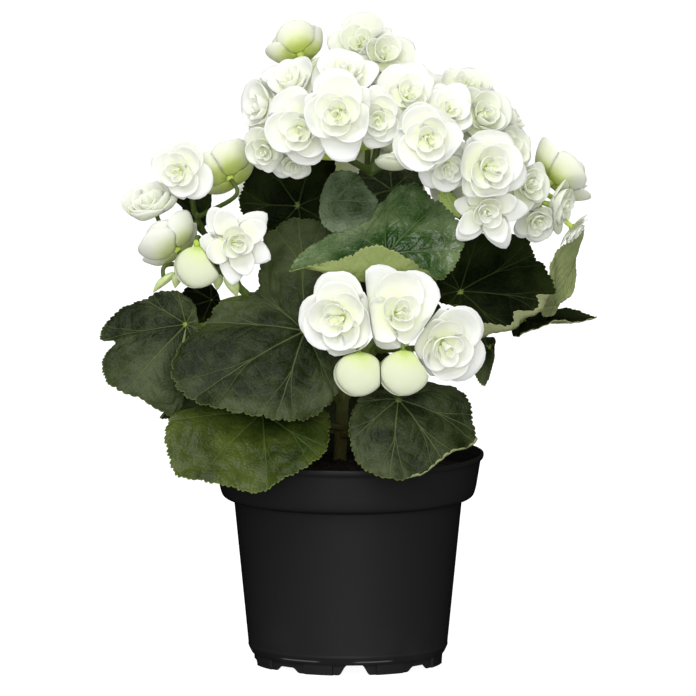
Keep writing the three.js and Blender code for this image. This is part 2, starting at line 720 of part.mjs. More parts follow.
// Sprays of two or three flowers. Each is one node: its stalks and its flowers grown together.
//   from    the place on a leader where the spray starts
//   fork    the place where its flower stalks part
const SPRAYS = {
  spray_top: {
    from: [374, 98, 4],
    fork: [374, 84, 6],
    flowers: [
      { place: [358, 42, 4], radius: 16, turn: -16, rise: 38, roll: 5 },
      { place: [386, 55, -6], radius: 15.5, turn: 24, rise: 30, roll: 30 },
    ],
  },
  spray_top_left: {
    from: [322, 142, -4],
    fork: [316, 108, 4],
    flowers: [
      { place: [297, 45, 8], radius: 14, turn: -160, rise: 42, roll: 50, cupped: true },
      { place: [319, 74, -2], radius: 13, turn: -12, rise: 48, roll: 0 },
    ],
    green: true,
  },
  spray_small_left: {
    from: [346, 158, -1],
    fork: [308, 156, -12],
    flowers: [
      { place: [265, 150, -28], radius: 10.5, turn: -24, rise: -12, roll: 0 },
      { place: [291, 166, -26], radius: 9, turn: -4, rise: -34, roll: 20 },
    ],
  },
  spray_right_top: {
    from: [442, 136, -8],
    fork: [452, 128, -8],
    flowers: [
      { place: [467, 84, -6], radius: 14, turn: 20, rise: 52, roll: 30 },
      { place: [483, 112, -24], radius: 16, turn: 30, rise: 26, roll: 60 },
      { place: [425, 82, 0], radius: 12, turn: 10, rise: 62, roll: 60 },
    ],
  },
  spray_right_edge: {
    from: [494, 208, -4],
    fork: [502, 178, -4],
    flowers: [
      { place: [514, 116, -2], radius: 13, turn: 86, rise: 26, roll: 45 },
      { place: [515, 150, -18], radius: 14, turn: 50, rise: 18, roll: 20 },
    ],
    green: true,
  },
  spray_right_side: {
    from: [526, 212, 0],
    fork: [540, 206, -5],
    flowers: [
      { place: [531, 186, -18], radius: 12.5, turn: 40, rise: 6, roll: 65 },
      { place: [537, 224, -14], radius: 10, turn: 20, rise: -24, roll: 25 },
    ],
  },
  spray_far_right: {
    from: [548, 214, 2],
    fork: [562, 204, 10],
    flowers: [
      { place: [562, 171, 8], radius: 17.5, turn: 118, rise: 38, roll: 15, cupped: true },
      { place: [564, 210, -6], radius: 13, turn: 70, rise: -16, roll: 35 },
      { place: [578, 232, -2], radius: 8, turn: 80, rise: -40, roll: 10 },
    ],
    green: true,
  },
  spray_back_crown: {
    from: [368, 150, 34],
    fork: [366, 130, 38],
    flowers: [
      { place: [338, 92, 44], radius: 16, turn: -160, rise: 30, roll: 0 },
      { place: [392, 90, 46], radius: 16, turn: 165, rise: 32, roll: 40 },
      { place: [364, 142, 62], radius: 16, turn: 178, rise: 5, roll: 20 },
    ],
    back: true,
  },
  spray_back_low: {
    from: [366, 205, 42],
    fork: [366, 192, 46],
    flowers: [
      { place: [330, 178, 56], radius: 14, turn: -160, rise: -12, roll: 10 },
      { place: [400, 184, 58], radius: 14, turn: 166, rise: -12, roll: 50 },
    ],
    back: true,
  },
  spray_back_left: {
    from: [262, 215, 30],
    fork: [268, 190, 34],
    flowers: [
      { place: [292, 142, 40], radius: 15, turn: -150, rise: 24, roll: 30 },
      { place: [262, 190, 50], radius: 14, turn: -140, rise: 4, roll: 70 },
      { place: [290, 206, 60], radius: 14, turn: -168, rise: -8, roll: 15 },
    ],
    back: true,
  },
  spray_back_right: {
    from: [452, 185, 32],
    fork: [456, 160, 34],
    flowers: [
      { place: [446, 118, 38], radius: 15, turn: 150, rise: 30, roll: 25 },
      { place: [490, 148, 32], radius: 15, turn: 118, rise: 14, roll: 0 },
      { place: [452, 172, 56], radius: 14, turn: 160, rise: -4, roll: 45 },
    ],
    back: true,
  },
};

// Share of the radius at which the flower's middle stands above its seat.
const MIDDLE_SHARE = 0.4;
// The same for a bud, whose foot is drawn out to a point.
const BUD_FOOT_SHARE = 1.1;
const CORE_SHARE = 0.2;
const PETAL_ROOT = 1.2;
// The rings of petals, from the lower one. A petal leaves the core at its lift in degrees and curls up
// by its curl. Its length and half its width are shares of the flower's radius.
const RINGS = [
  { lift: -8, curl: 62, length: 1, width: 0.68 },
  { lift: 22, curl: 68, length: 0.86, width: 0.6 },
];
const CUPPED_RINGS = [
  { lift: 24, curl: 50, length: 1, width: 0.68 },
  { lift: 42, curl: 48, length: 0.86, width: 0.6 },
];

function axesOf({ turn, rise, roll = 0 }) {
  const out = facing(turn, rise);
  const side = new THREE.Vector3(0, 0, 1).cross(out).normalize();
  const up = new THREE.Vector3().crossVectors(out, side);
  const angle = THREE.MathUtils.degToRad(roll);
  const first = side.clone().multiplyScalar(Math.cos(angle)).addScaledVector(up, Math.sin(angle));
  return { out, first, second: new THREE.Vector3().crossVectors(out, first) };
}

function seatOf(flower, share = MIDDLE_SHARE) {
  return at(flower.place).addScaledVector(facing(flower.turn, flower.rise), -share * flower.radius);
}

// The inner or outer face of a petal, at a share of its length and a distance to the side of its midline.
function petalPoint({ azimuth, start, height, lift, curl, length, cup }, share, aside, offset) {
  const [rise, bend] = [THREE.MathUtils.degToRad(lift), THREE.MathUtils.degToRad(curl)];
  const angle = rise + bend * share;
  const out = start + (length / bend) * (Math.sin(angle) - Math.sin(rise));
  const up = height + (length / bend) * (Math.cos(rise) - Math.cos(angle));
  const fold = cup * aside;
  const across = (1 / cup - offset) * Math.sin(fold);
  const inward = 1 / cup - (1 / cup - offset) * Math.cos(fold);
  const reach = out - inward * Math.sin(angle);
  return new THREE.Vector3(
    reach * Math.cos(azimuth) - across * Math.sin(azimuth),
    reach * Math.sin(azimuth) + across * Math.cos(azimuth),
    up + inward * Math.cos(angle),
  );
}

// An open flower in its own frame, +Z out of its face, as points and triangles.
function flowerMesh({ radius, cupped }, heart = true) {
  const points = [];
  const triangles = [];
  const add = (p) => points.push(p) - 1;
  const core = CORE_SHARE * radius;
  const corner = (k, z, r = core, twist = 0) => {
    const angle = ((k - 0.5) * Math.PI) / 3 + twist;
    return new THREE.Vector3(r * Math.cos(angle), r * Math.sin(angle), z);
  };
  const sides = [0, 1, 2, 3, 4, 5];
  const levels = [0, PETAL_ROOT, 2 * PETAL_ROOT];
  const rings = levels.map((z) => sides.map((k) => add(corner(k, z))));
  (cupped ? CUPPED_RINGS : RINGS).forEach((ring, level) => {
    for (const k of sides) {
      const [low, high] = [rings[level], rings[level + 1]];
      const [a, b] = [low[k], low[(k + 1) % 6]];
      const [c, d] = [high[(k + 1) % 6], high[k]];
      if (k % 2 !== level) {
        triangles.push([a, b, c], [a, c, d]);
        continue;
      }
      const petal = {
        azimuth: (k * Math.PI) / 3,
        start: core * Math.cos(Math.PI / 6),
        height: (level + 0.5) * PETAL_ROOT,
        lift: ring.lift,
        curl: ring.curl,
        length: ring.length * radius,
        cup: 0.75 / radius,
      };
      const half = ring.width * radius;
      const grid = [[0.55, -half], [0.55, 0], [0.55, half], [1, 0.5 * half], [1, -0.5 * half]];
      if (!heart) grid.splice(1, 1);
      const face = (offset) => grid.map(([s, x]) => add(petalPoint(petal, s, x, offset)));
      const inner = face(PETAL_THICKNESS / 2);
      const outer = face(-PETAL_THICKNESS / 2);
      const full = ([p, q], [l, m, r, tr, tl]) => [
        [p, m, l], [p, q, m], [q, r, m], [l, m, tl], [m, tr, tl], [m, r, tr],
      ];
      const plain = ([p, q], [l, r, tr, tl]) => [[p, q, r], [p, r, l], [l, r, tr], [l, tr, tl]];
      const sheet = heart ? full : plain;
      triangles.push(...sheet([d, c], inner).map(([x, y, z]) => [x, z, y]));
      triangles.push(...sheet([a, b], outer));
      const rimOf = (first, face, last) => [first, face[0], ...face.slice(heart ? 2 : 1).reverse(), last];
      const rimInner = rimOf(d, inner, c);
      const rimOuter = rimOf(a, outer, b);
      for (let i = 0; i + 1 < rimInner.length; i++) {
        const [p, q] = [rimOuter[i], rimOuter[i + 1]];
        triangles.push([p, q, rimInner[i + 1]], [p, rimInner[i + 1], rimInner[i]]);
      }
    }
  });
  const base = rings[0];
  for (let k = 1; k < 5; k++) triangles.push([base[0], base[k + 1], base[k]]);
  let below = rings[2];
  if (heart) {
    const tiers = [[0.42, 0.36, 0.35], [0.68, 0.26, 0.9]];
    for (const [z, r, twist] of tiers) {
      const ring = sides.map((k) => add(corner(k, z * radius, r * radius, twist)));
      const lower = below;
      sides.forEach((k) => {
        const next = (k + 1) % 6;
        triangles.push([lower[k], lower[next], ring[next]], [lower[k], ring[next], ring[k]]);
      });
      below = ring;
    }
  }
  const top = add(new THREE.Vector3(0, 0, (heart ? 0.6 : 0.3) * radius));
  sides.forEach((k) => triangles.push([top, below[k], below[(k + 1) % 6]]));
  return { points, triangles };
}

// A bud in its own frame, +Z from its foot to its tip: two shells with a groove between them.
function budMesh(radius) {
  const [around, along] = [10, 4];
  const points = [new THREE.Vector3(0, 0, 0)];
  for (let j = 1; j <= along; j++) {
    const polar = (j * Math.PI) / (along + 1);
    for (let i = 0; i < around; i++) {
      const angle = (i * 2 * Math.PI) / around;
      const seam = 1 - 0.12 * Math.exp(-((Math.sin(angle) / 0.3) ** 2));
      points.push(
        new THREE.Vector3(
          radius * Math.sin(polar) * Math.cos(angle) * seam,
          radius * 0.42 * Math.sin(polar) * Math.sin(angle),
          radius * (BUD_FOOT_SHARE - Math.cos(polar)),
        ),
      );
    }
  }
  points.push(new THREE.Vector3(0, 0, (BUD_FOOT_SHARE + 1) * radius));
  const triangles = [];
  const last = points.length - 1;
  for (let i = 0; i < around; i++) {
    const next = (i + 1) % around;
    triangles.push([0, 1 + next, 1 + i], [last, last - around + i, last - around + next]);
    for (let j = 0; j + 1 < along; j++) {
      const [a, b] = [1 + j * around + i, 1 + j * around + next];
      triangles.push([a, b, b + around], [a, b + around, a + around]);
    }
  }
  return { points, triangles };
}

// Each flower keeps to its own share of the space between it and its neighbours: a point is drawn in
// along the line to the flower's middle, more the further out it lies, and so never passes the plane
// that parts the two.
const ALL_FLOWERS = [
  ...Object.values(FLOWERS),
  ...Object.values(BUDS),
  ...Object.values(SPRAYS).flatMap((spray) => spray.flowers),
];

const FREE_SHARE = 0.72;

function roomOf(flower) {
  const middle = at(flower.place);
  const walls = [];
  for (const other of ALL_FLOWERS) {
    if (other === flower) continue;
    const way = at(other.place).sub(middle);
    const apart = way.length();
    if (apart > 1.3 * (flower.radius + other.radius)) continue;
    const distance = (apart * flower.radius) / (flower.radius + other.radius) - SEAT_GAP;
    walls.push({ way: way.normalize(), distance });
  }
  return { middle, walls };
}

function drawIn(point, { middle, walls }) {
  const spoke = point.clone().sub(middle);
  const reach = spoke.length();
  if (reach < 1e-6) return point;
  let crowding = 0;
  for (const { way, distance } of walls) {
    const towards = spoke.dot(way) / reach;
    if (towards > 0) crowding += (towards / distance) ** 8;
  }
  if (!crowding) return point;
  const limit = crowding ** (-1 / 8);
  const free = FREE_SHARE * limit;
  if (reach <= free) return point;
  const drawn = free + (limit - free) * (1 - Math.exp(-(reach - free) / (limit - free)));
  return middle.clone().addScaledVector(spoke, drawn / reach);
}

function placed(mesh, flower, share) {
  const { out, first, second } = axesOf(flower);
  const seat = seatOf(flower, share);
  const room = roomOf(flower);
  const points = mesh.points.map((p) =>
    drawIn(
      seat
        .clone()
        .addScaledVector(first, p.x)
        .addScaledVector(second, p.y)
        .addScaledVector(out, p.z),
      room,
    ),
  );
  return solidFrom(points, mesh.triangles);
}

const flowerSolid = (flower, heart) => placed(flowerMesh(flower, heart), flower, MIDDLE_SHARE);
const budSolid = (bud) => placed(budMesh(bud.radius), bud, BUD_FOOT_SHARE);

// A flower stalk leaves the end of its leader and comes up square to the flower's seat.
function stalkPlaces(flower, joint, share = MIDDLE_SHARE, gap = SEAT_GAP) {
  const out = facing(flower.turn, flower.rise);
  const end = drawIn(seatOf(flower, share), roomOf(flower)).addScaledVector(out, -gap);
  const bend = end.clone().addScaledVector(out, -Math.min(STALK_BEND, MOST_SHARE * end.distanceTo(joint)));
  return [joint, bend, end];
}

// Stalks leave a leader one behind the other, down from its end.
function jointsOn(leader, count) {
  const curve = smooth(LEADERS[leader][2].map(at));
  const step = Math.min(STALK_SPACING, (MOST_SHARE * curve.getLength()) / count);
  return Array.from({ length: count }, (_, i) => curve.getPointAt(1 - (i * step) / curve.getLength()));
}

function flowerStalks(grow) {
  const form = { sides: 3, steps: 2, grow };
  const grown = [];
  for (const leader of Object.keys(LEADERS)) {
    const flowers = Object.values(FLOWERS).filter((flower) => flower.joint === leader);
    const buds = Object.values(BUDS).filter((bud) => bud.joint === leader);
    const greenBuds = GREEN_BUDS.filter(([, , joint]) => joint === leader);
    const joints = jointsOn(leader, flowers.length + buds.length + greenBuds.length);
    const thick = [STALK_RADIUS * STALK_SWELL, STALK_RADIUS];
    for (const flower of flowers) {
      grown.push(limb(stalkPlaces(flower, joints.shift()), ...thick, form));
    }
    for (const bud of buds) {
      grown.push(limb(stalkPlaces(bud, joints.shift(), BUD_FOOT_SHARE), ...thick, form));
    }
    for (const [place, radius] of greenBuds) {
      const middle = at(place);
      const above = middle.clone().add(new THREE.Vector3(0, 0, 2 * radius));
      const bud = new THREE.SphereGeometry(radius, 5, 3);
      bud.scale(0.8, 0.6, 1.2);
      bud.translate(middle.x, middle.y, middle.z);
      grown.push(limb([joints.shift(), above, middle], ...thick, form), solidOf(bud));
    }
  }
  return grown;
}

function spraySolid(spray, grownStem) {
  const [from, fork] = [at(spray.from), at(spray.fork)];
  const thick = { sides: STALK_SIDES, steps: 1 };
  const pieces = [limb([from, fork], SPRAY_STALK_RADIUS, SPRAY_STALK_RADIUS, thick)];
  for (const [i, flower] of spray.flowers.entries()) {
    const joint = fork.clone().lerp(from, SPRAY_STEP * i);
    const form = { sides: 3, steps: 2 };
    pieces.push(flowerSolid(flower, !spray.back && flower.radius > 12));
    const places = stalkPlaces(flower, joint, MIDDLE_SHARE, -SUNK);
    pieces.push(limb(places, STALK_RADIUS * STALK_SWELL, STALK_RADIUS, form));
  }
  return join(pieces).subtract(grownStem);
}

// Peat
function soilSolid(stemHole) {
  const p = POT;
  const inner = POT_WALL + SEAT_GAP;
  const bed = lathe([
    [0, p.footHeight + POT_WALL + SEAT_GAP],
    [p.skirtRadius - inner - 1.6, p.footHeight + POT_WALL + SEAT_GAP],
    [p.skirtRadius - inner - 0.2, p.skirtHeight + 0.2],
    [p.neckRadius - inner, p.neckHeight + 1.3],
    [p.collarRadius - inner - 0.4, p.collarHeight + 0.4],
    [p.rimRadius - inner - 0.8, SOIL_HEIGHT - 3],
    [44, SOIL_HEIGHT - 1.5],
    [20, SOIL_HEIGHT],
    [0, SOIL_HEIGHT + 0.5],
  ]);
  const lumpy = bed.warp((v) => {
    const inside = Math.hypot(v[0], v[1]) < 50;
    if (v[2] > SOIL_HEIGHT - 2 && inside) {
      v[2] += 0.9 * Math.sin(0.55 * v[0] + 1) * Math.cos(0.47 * v[1]) + 0.5 * Math.sin(1.3 * v[0] + v[1]);
    }
  });
  return lumpy.subtract(stemHole);
}

// Assembly
addNode("pot", potSolid(), "pot");

addNode("soil", soilSolid(leaderSolid(LEADERS.main, SEAT_GAP + 0.2)), "soil");

addNode("stem", join([...leaderSolids(0), ...flowerStalks(0)]), "stem", COARSE_FACET);

const grownStem = join(leaderSolids(SEAT_GAP + 0.1));
for (const [name, leaf] of Object.entries({ ...LEAVES, ...BACK_LEAVES })) {
  addNode(name, leafSolid(leaf, grownStem), leaf.young ? "youngLeaf" : "leaf");
}
for (const [name, flower] of Object.entries(FLOWERS)) {
  addNode(name, flowerSolid(flower), flower.green ? "greenPetal" : "petal");
}
for (const [name, bud] of Object.entries(BUDS)) addNode(name, budSolid(bud), "petal");
const grownStalks = join([grownStem, ...flowerStalks(SEAT_GAP + 0.1)]);
for (const [name, spray] of Object.entries(SPRAYS)) {
  addNode(name, spraySolid(spray, grownStalks), spray.green ? "greenPetal" : "petal", COARSE_FACET);
}

export default begonia;
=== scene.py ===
import math

import bpy
import numpy as np
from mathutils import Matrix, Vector, noise


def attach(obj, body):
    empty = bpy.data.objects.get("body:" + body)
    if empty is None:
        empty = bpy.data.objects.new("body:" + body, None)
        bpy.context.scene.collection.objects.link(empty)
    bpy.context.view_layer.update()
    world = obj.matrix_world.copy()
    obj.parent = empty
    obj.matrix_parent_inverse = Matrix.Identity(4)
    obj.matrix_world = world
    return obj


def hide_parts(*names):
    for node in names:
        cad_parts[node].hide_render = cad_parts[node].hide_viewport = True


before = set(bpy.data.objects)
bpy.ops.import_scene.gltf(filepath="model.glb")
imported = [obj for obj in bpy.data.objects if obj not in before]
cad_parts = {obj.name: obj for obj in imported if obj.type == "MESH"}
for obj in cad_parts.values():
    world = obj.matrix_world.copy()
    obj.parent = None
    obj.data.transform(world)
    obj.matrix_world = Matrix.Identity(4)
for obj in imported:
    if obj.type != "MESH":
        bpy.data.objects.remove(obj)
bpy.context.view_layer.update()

# Pot
# A thin nursery pot, injection moulded in black polypropylene: a tapered wall, a rolled collar with a
# lip, and a foot ring with eight drain notches, of which the front and back ones are deep. Six round
# holes drain its floor.
METRES = 0.001
POT_WALL = 1.2
FOOT_RADIUS = 42
FOOT_HEIGHT = 5
SKIRT_RADIUS = 44
SKIRT_HEIGHT = 7.4
NECK_RADIUS = 50.4
NECK_HEIGHT = 72.9
COLLAR_RADIUS = 56.2
COLLAR_HEIGHT = 76.5
RIM_RADIUS = 58.6
RIM_HEIGHT = 90.2
LIP_RADIUS = 60
LIP_HEIGHT = 93.4
NOTCHES = 8
NOTCH_TURN = math.radians(4)
NOTCH_HEIGHT = 4.5
SIDE_NOTCH_HEIGHT = 2.2
# How wide a notch is at its top and at its bottom, and the sunk panel round it, with its soft edge.
NOTCH_TOP = 6.6
NOTCH_BOTTOM = 14.4
NOTCH_PANEL = 19.6
NOTCH_PANEL_EDGE = 0.15
NOTCH_PANEL_DEPTH = 0.9
DRAIN_HOLES = 6
DRAIN_HOLE_RADIUS = 3.6
DRAIN_HOLE_CIRCLE = 29
# Two painted highlights, as of light caught on the foot's ridge, at its front and at its back: their
# height, how far left of the axis they are centred, how far to either side each lies, and half of its
# length and of its width, each where the line has faded out and where it is full.
GLINT_HEIGHT = 6.2
GLINT_LEFT = 5
GLINT_OFF = 16
GLINT_LENGTH = 9.5, 6
GLINT_WIDTH = 0.4, 0.1
# The pot's columns and the least angle between two of them, and the points of a rounded corner.
POT_COLUMNS = 144
LEAST_TURN = 0.002
ARC_POINTS = 5


class Shade:
    """A socket of a material's nodes. Arithmetic on it adds Math nodes."""

    def __init__(self, tree, socket=None):
        self.tree = tree
        self.socket = socket

    def node(self, kind, settings=None, inputs=None, output=0):
        """One of the sockets that a new node gives. inputs holds values and sockets to link."""
        made = self.tree.nodes.new("ShaderNode" + kind)
        for name, value in (settings or {}).items():
            setattr(made, name, value)
        for name, value in (inputs or {}).items():
            if isinstance(value, Shade):
                self.tree.links.new(value.socket, made.inputs[name])
            else:
                made.inputs[name].default_value = value
        return Shade(self.tree, made.outputs[output])

    def maths(self, operation, *values):
        return self.node("Math", {"operation": operation}, dict(enumerate(values)))

    def __add__(self, other):
        return self.maths("ADD", self, other)

    def __radd__(self, other):
        return self.maths("ADD", other, self)

    def __sub__(self, other):
        return self.maths("SUBTRACT", self, other)

    def __rsub__(self, other):
        return self.maths("SUBTRACT", other, self)

    def __mul__(self, other):
        return self.maths("MULTIPLY", self, other)

    def __rmul__(self, other):
        return self.maths("MULTIPLY", other, self)

    def __truediv__(self, other):
        return self.maths("DIVIDE", self, other)

    def __pow__(self, other):
        return self.maths("POWER", self, other)

    def __abs__(self):
        return self.maths("ABSOLUTE", self)

    def at_most(self, other):
        return self.maths("MINIMUM", self, other)

    def at_least(self, other):
        return self.maths("MAXIMUM", self, other)

    def step(self, low, high):
        """0 below low, 1 above high and smooth between them. It falls where low is the larger one."""
        if low > high:
            return 1 - self.step(high, low)
        inputs = {"Value": self, "From Min": low, "From Max": high}
        return self.node("MapRange", {"interpolation_type": "SMOOTHSTEP"}, inputs)

    def mix(self, first, second):
        """The colour first where this is 0 and second where it is 1."""
        return self.node("Mix", {"data_type": "RGBA"}, {0: self, 6: first, 7: second}, 2)

    def place(self):
        """The place on the piece, in metres."""
        return self.node("TexCoord", output="Object")

    def part(self, axis):
        """One part of a place, by the number of its axis."""
        return self.node("SeparateXYZ", None, {0: self}, axis)

    def mark(self, name):
        """The value that the piece has at its points under this name."""
        return self.node("Attribute", {"attribute_name": name}, output="Fac")

    def noise(self, place, scale, detail=2.0, stretch=None):
        """A noise of about 0 to 1 whose patches are scale millimetres wide."""
        if stretch:
            inputs = {0: place, 1: stretch}
            place = self.node("VectorMath", {"operation": "MULTIPLY"}, inputs)
        inputs = {"Vector": place, "Scale": 1 / (scale * METRES), "Detail": detail}
        return self.node("TexNoise", None, inputs)

    def cells(self, place, scale, feature="DISTANCE_TO_EDGE"):
        """A distance in a pattern of cells that are scale millimetres wide."""
        inputs = {"Vector": place, "Scale": 1 / (scale * METRES)}
        return self.node("TexVoronoi", {"feature": feature}, inputs)


def finish(name, paint, **fixed):
    """A material. paint is given its nodes and returns what varies, fixed is what doesn't. Where a
    height varies, bump is its strength and its depth in millimetres."""
    material = bpy.data.materials.new(name)
    material.use_nodes = True
    nodes = material.node_tree.nodes
    surface = nodes["Principled BSDF"]
    for socket, value in fixed.items():
        surface.inputs[socket.replace("_", " ")].default_value = value
    start = Shade(material.node_tree)
    varying = paint(start)
    if "height" in varying:
        height, (strength, depth) = varying.pop("height"), varying.pop("bump")
        inputs = {"Height": height, "Strength": strength, "Distance": depth * METRES}
        varying["Normal"] = start.node("Bump", None, inputs)
    for socket, value in varying.items():
        material.node_tree.links.new(value.socket, surface.inputs[socket])
    return material


def make_piece(name, points, faces, finishes, slot, choices=None, marks=None, corners=None):
    """A mesh object on the root body. points are millimetres, choices give each face's finish,
    marks are values at the points by name, and corners are texture places at the face corners."""
    mesh = bpy.data.meshes.new(name)
    mesh.from_pydata((np.asarray(points, float) * METRES).tolist(), [], faces)
    for material in finishes:
        mesh.materials.append(material)
    if choices is not None:
        mesh.polygons.foreach_set("material_index", np.asarray(choices, np.int32))
    for mark, values in (marks or {}).items():
        attribute = mesh.attributes.new(mark, "FLOAT", "POINT")
        attribute.data.foreach_set("value", np.asarray(values, np.float32))
    if corners is not None:
        layer = mesh.uv_layers.new(name="blade")
        layer.data.foreach_set("uv", np.asarray(corners, np.float32).ravel())
    mesh.shade_smooth()
    mesh.update()
    made = bpy.data.objects.new(name, mesh)
    bpy.context.scene.collection.objects.link(made)
    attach(made, "root")
    return made


def bent(share, start, bend, end):
    """The point at a share of a curve that leaves start towards bend and comes to end from it."""
    return (1 - share) ** 2 * start + 2 * share * (1 - share) * bend + share**2 * end


def filleted(corners):
    """A profile with its corners rounded. A corner is a radius, a height and the rounding's reach."""
    profile = []
    for i, (*corner, rounding) in enumerate(corners):
        here = np.array(corner, float)
        if rounding == 0 or i in (0, len(corners) - 1):
            profile.append(here)
            continue
        before = np.array(corners[i - 1][:2]) - here
        after = np.array(corners[i + 1][:2]) - here
        shorter = min(np.linalg.norm(before), np.linalg.norm(after))
        reach = min(rounding, 0.49 * shorter)
        start = here + before / np.linalg.norm(before) * reach
        end = here + after / np.linalg.norm(after) * reach
        profile += [bent(share, start, here, end) for share in np.linspace(0, 1, ARC_POINTS)]
    return np.array(profile)


def smoothstep(low, high, value):
    t = np.clip((value - low) / (high - low), 0, 1)
    return t * t * (3 - 2 * t)


def pot_profile():
    """From the middle of the floor's underside, round the foot and the wall, to the floor's top."""
    floor_top = FOOT_HEIGHT + POT_WALL
    return filleted(
        [
            (0, FOOT_HEIGHT, 0),
            (FOOT_RADIUS - 2.2, FOOT_HEIGHT, 0.6),
            (FOOT_RADIUS - 2, 0, 0.4),
            (FOOT_RADIUS, 0, 0.4),
            (FOOT_RADIUS + 0.3, FOOT_HEIGHT - 0.5, 0.4),
            (FOOT_RADIUS + 0.8, FOOT_HEIGHT + 0.1, 0.5),
            (SKIRT_RADIUS - 0.2, SKIRT_HEIGHT - 0.2, 0.5),
            (SKIRT_RADIUS + 0.15, SKIRT_HEIGHT + 0.7, 0.3),
            (SKIRT_RADIUS + 0.05, SKIRT_HEIGHT + 1.6, 0.3),
            (NECK_RADIUS, NECK_HEIGHT, 0.5),
            (COLLAR_RADIUS - 0.8, NECK_HEIGHT + 1.2, 2.6),
            (COLLAR_RADIUS + 0.4, COLLAR_HEIGHT + 1.5, 3),
            (RIM_RADIUS, RIM_HEIGHT, 0.8),
            (LIP_RADIUS - 0.1, RIM_HEIGHT + 1.2, 0.8),
            (LIP_RADIUS, LIP_HEIGHT, 0.9),
            (LIP_RADIUS - 1.2, LIP_HEIGHT, 0.8),
            (RIM_RADIUS - POT_WALL, RIM_HEIGHT, 1),
            (COLLAR_RADIUS - POT_WALL - 0.1, COLLAR_HEIGHT, 2),
            (NECK_RADIUS - POT_WALL, NECK_HEIGHT + 0.9, 0.6),
            (SKIRT_RADIUS - POT_WALL, SKIRT_HEIGHT, 0.8),
            (SKIRT_RADIUS - POT_WALL - 1.4, floor_top, 0.5),
            (0, floor_top, 0),
        ]
    )


def pot_columns():
    """The angles of the pot's columns: an even round, closer where a notch has its edges."""
    even = np.arange(POT_COLUMNS) * 2 * math.pi / POT_COLUMNS
    panel = NOTCH_PANEL / 2
    offsets = [panel - NOTCH_PANEL_EDGE, panel + NOTCH_PANEL_EDGE]
    offsets += list(np.linspace(NOTCH_TOP / 2 - 0.4, NOTCH_BOTTOM / 2 + 0.4, 8))
    near = np.array([side * x / FOOT_RADIUS for x in offsets for side in (-1, 1)])
    centres = NOTCH_TURN - math.pi / 2 + np.arange(NOTCHES) * 2 * math.pi / NOTCHES
    every = np.concatenate([even, *(centre + near for centre in centres)]) % (2 * math.pi)
    every = np.sort(every)
    apart = np.diff(np.append(every, every[0] + 2 * math.pi))
    return every[apart > LEAST_TURN]


def round_faces(rounds, columns):
    """Faces of a closed form: its rounds of points one after the other, then its two poles."""
    grid = np.arange(rounds * columns).reshape(rounds, columns)
    after = np.roll(grid, -1, 1)
    faces = np.stack([grid[:-1], after[:-1], after[1:], grid[1:]], -1).reshape(-1, 4).tolist()
    faces += [[grid.size, b, a] for a, b in zip(grid[0], after[0])]
    faces += [[grid.size + 1, a, b] for a, b in zip(grid[-1], after[-1])]
    return faces


def pot_mesh():
    profile = pot_profile()
    inside = profile[1:-1]
    columns = pot_columns()
    pitch = 2 * math.pi / NOTCHES
    aside = (columns + math.pi / 2 - NOTCH_TURN + pitch / 2) % pitch - pitch / 2
    off = np.abs(aside) * FOOT_RADIUS
    which = np.rint((columns + math.pi / 2 - NOTCH_TURN) / pitch).astype(int)
    deep = np.where(which % 4 == 0, NOTCH_HEIGHT, SIDE_NOTCH_HEIGHT)
    lift = deep * (1 - smoothstep(NOTCH_TOP / 2, NOTCH_BOTTOM / 2, off))
    edge = NOTCH_PANEL / 2 - NOTCH_PANEL_EDGE, NOTCH_PANEL / 2 + NOTCH_PANEL_EDGE
    panel = NOTCH_PANEL_DEPTH * (1 - smoothstep(*edge, off))
    points = []
    for radius, height in inside:
        low = height < FOOT_HEIGHT - 0.4
        share = max(0, 1 - height / FOOT_HEIGHT) if low else 0
        outer = low and radius > FOOT_RADIUS - 1
        r = radius - (panel if outer else 0)
        z = height + lift * share
        points.append(np.stack([r * np.cos(columns), r * np.sin(columns), z + 0 * columns], 1))
    points = np.concatenate([*points, [[0, 0, profile[0][1]], [0, 0, profile[-1][1]]]])
    return points, round_faces(len(inside), len(columns))


def moulded_plastic(shade):
    place = shade.place()
    grain = shade.noise(place, 0.35, 3)
    cloudy = shade.noise(place, 22, 3)
    height = place.part(2)
    dusty = cloudy.step(0.45, 0.75) * height.step(0.03, 0.0) * 0.5
    scuffs = shade.noise(place, 1.6, 4, (1, 1, 14)).step(0.6, 0.72) * 0.3
    # Painted highlight: two pale lines on the foot's ridge, where light would catch it.
    across = place.part(0)
    off = abs(abs(across + GLINT_LEFT * METRES) - GLINT_OFF * METRES)
    along = off.step(*(half * METRES for half in GLINT_LENGTH))
    above = abs(height - GLINT_HEIGHT * METRES)
    painted_glint = along * above.step(*(half * METRES for half in GLINT_WIDTH))
    black = (dusty + 0.25 * scuffs).mix((0.0145, 0.0146, 0.0147, 1), (0.023, 0.023, 0.0227, 1))
    return {
        "Base Color": (0.8 * painted_glint).mix(black, (0.14, 0.14, 0.14, 1)),
        "Roughness": 0.46 + 0.1 * cloudy + 0.1 * scuffs + 0.05 * grain,
        "height": grain + 0.5 * scuffs,
        "bump": (0.12, 0.05),
    }


pot_plastic = finish("pot_plastic", moulded_plastic, Specular_IOR_Level=0.22)
pot = make_piece("pot_cup", *pot_mesh(), [pot_plastic], "pot")
drills = []
for i in range(DRAIN_HOLES):
    turn = 2 * math.pi * i / DRAIN_HOLES
    spot = Vector((math.cos(turn), math.sin(turn), 0)) * DRAIN_HOLE_CIRCLE
    spot.z = FOOT_HEIGHT + POT_WALL / 2
    bpy.ops.mesh.primitive_cylinder_add(
        vertices=40,
        radius=DRAIN_HOLE_RADIUS * METRES,
        depth=4 * POT_WALL * METRES,
        location=spot * METRES,
    )
    drills.append(bpy.context.active_object)


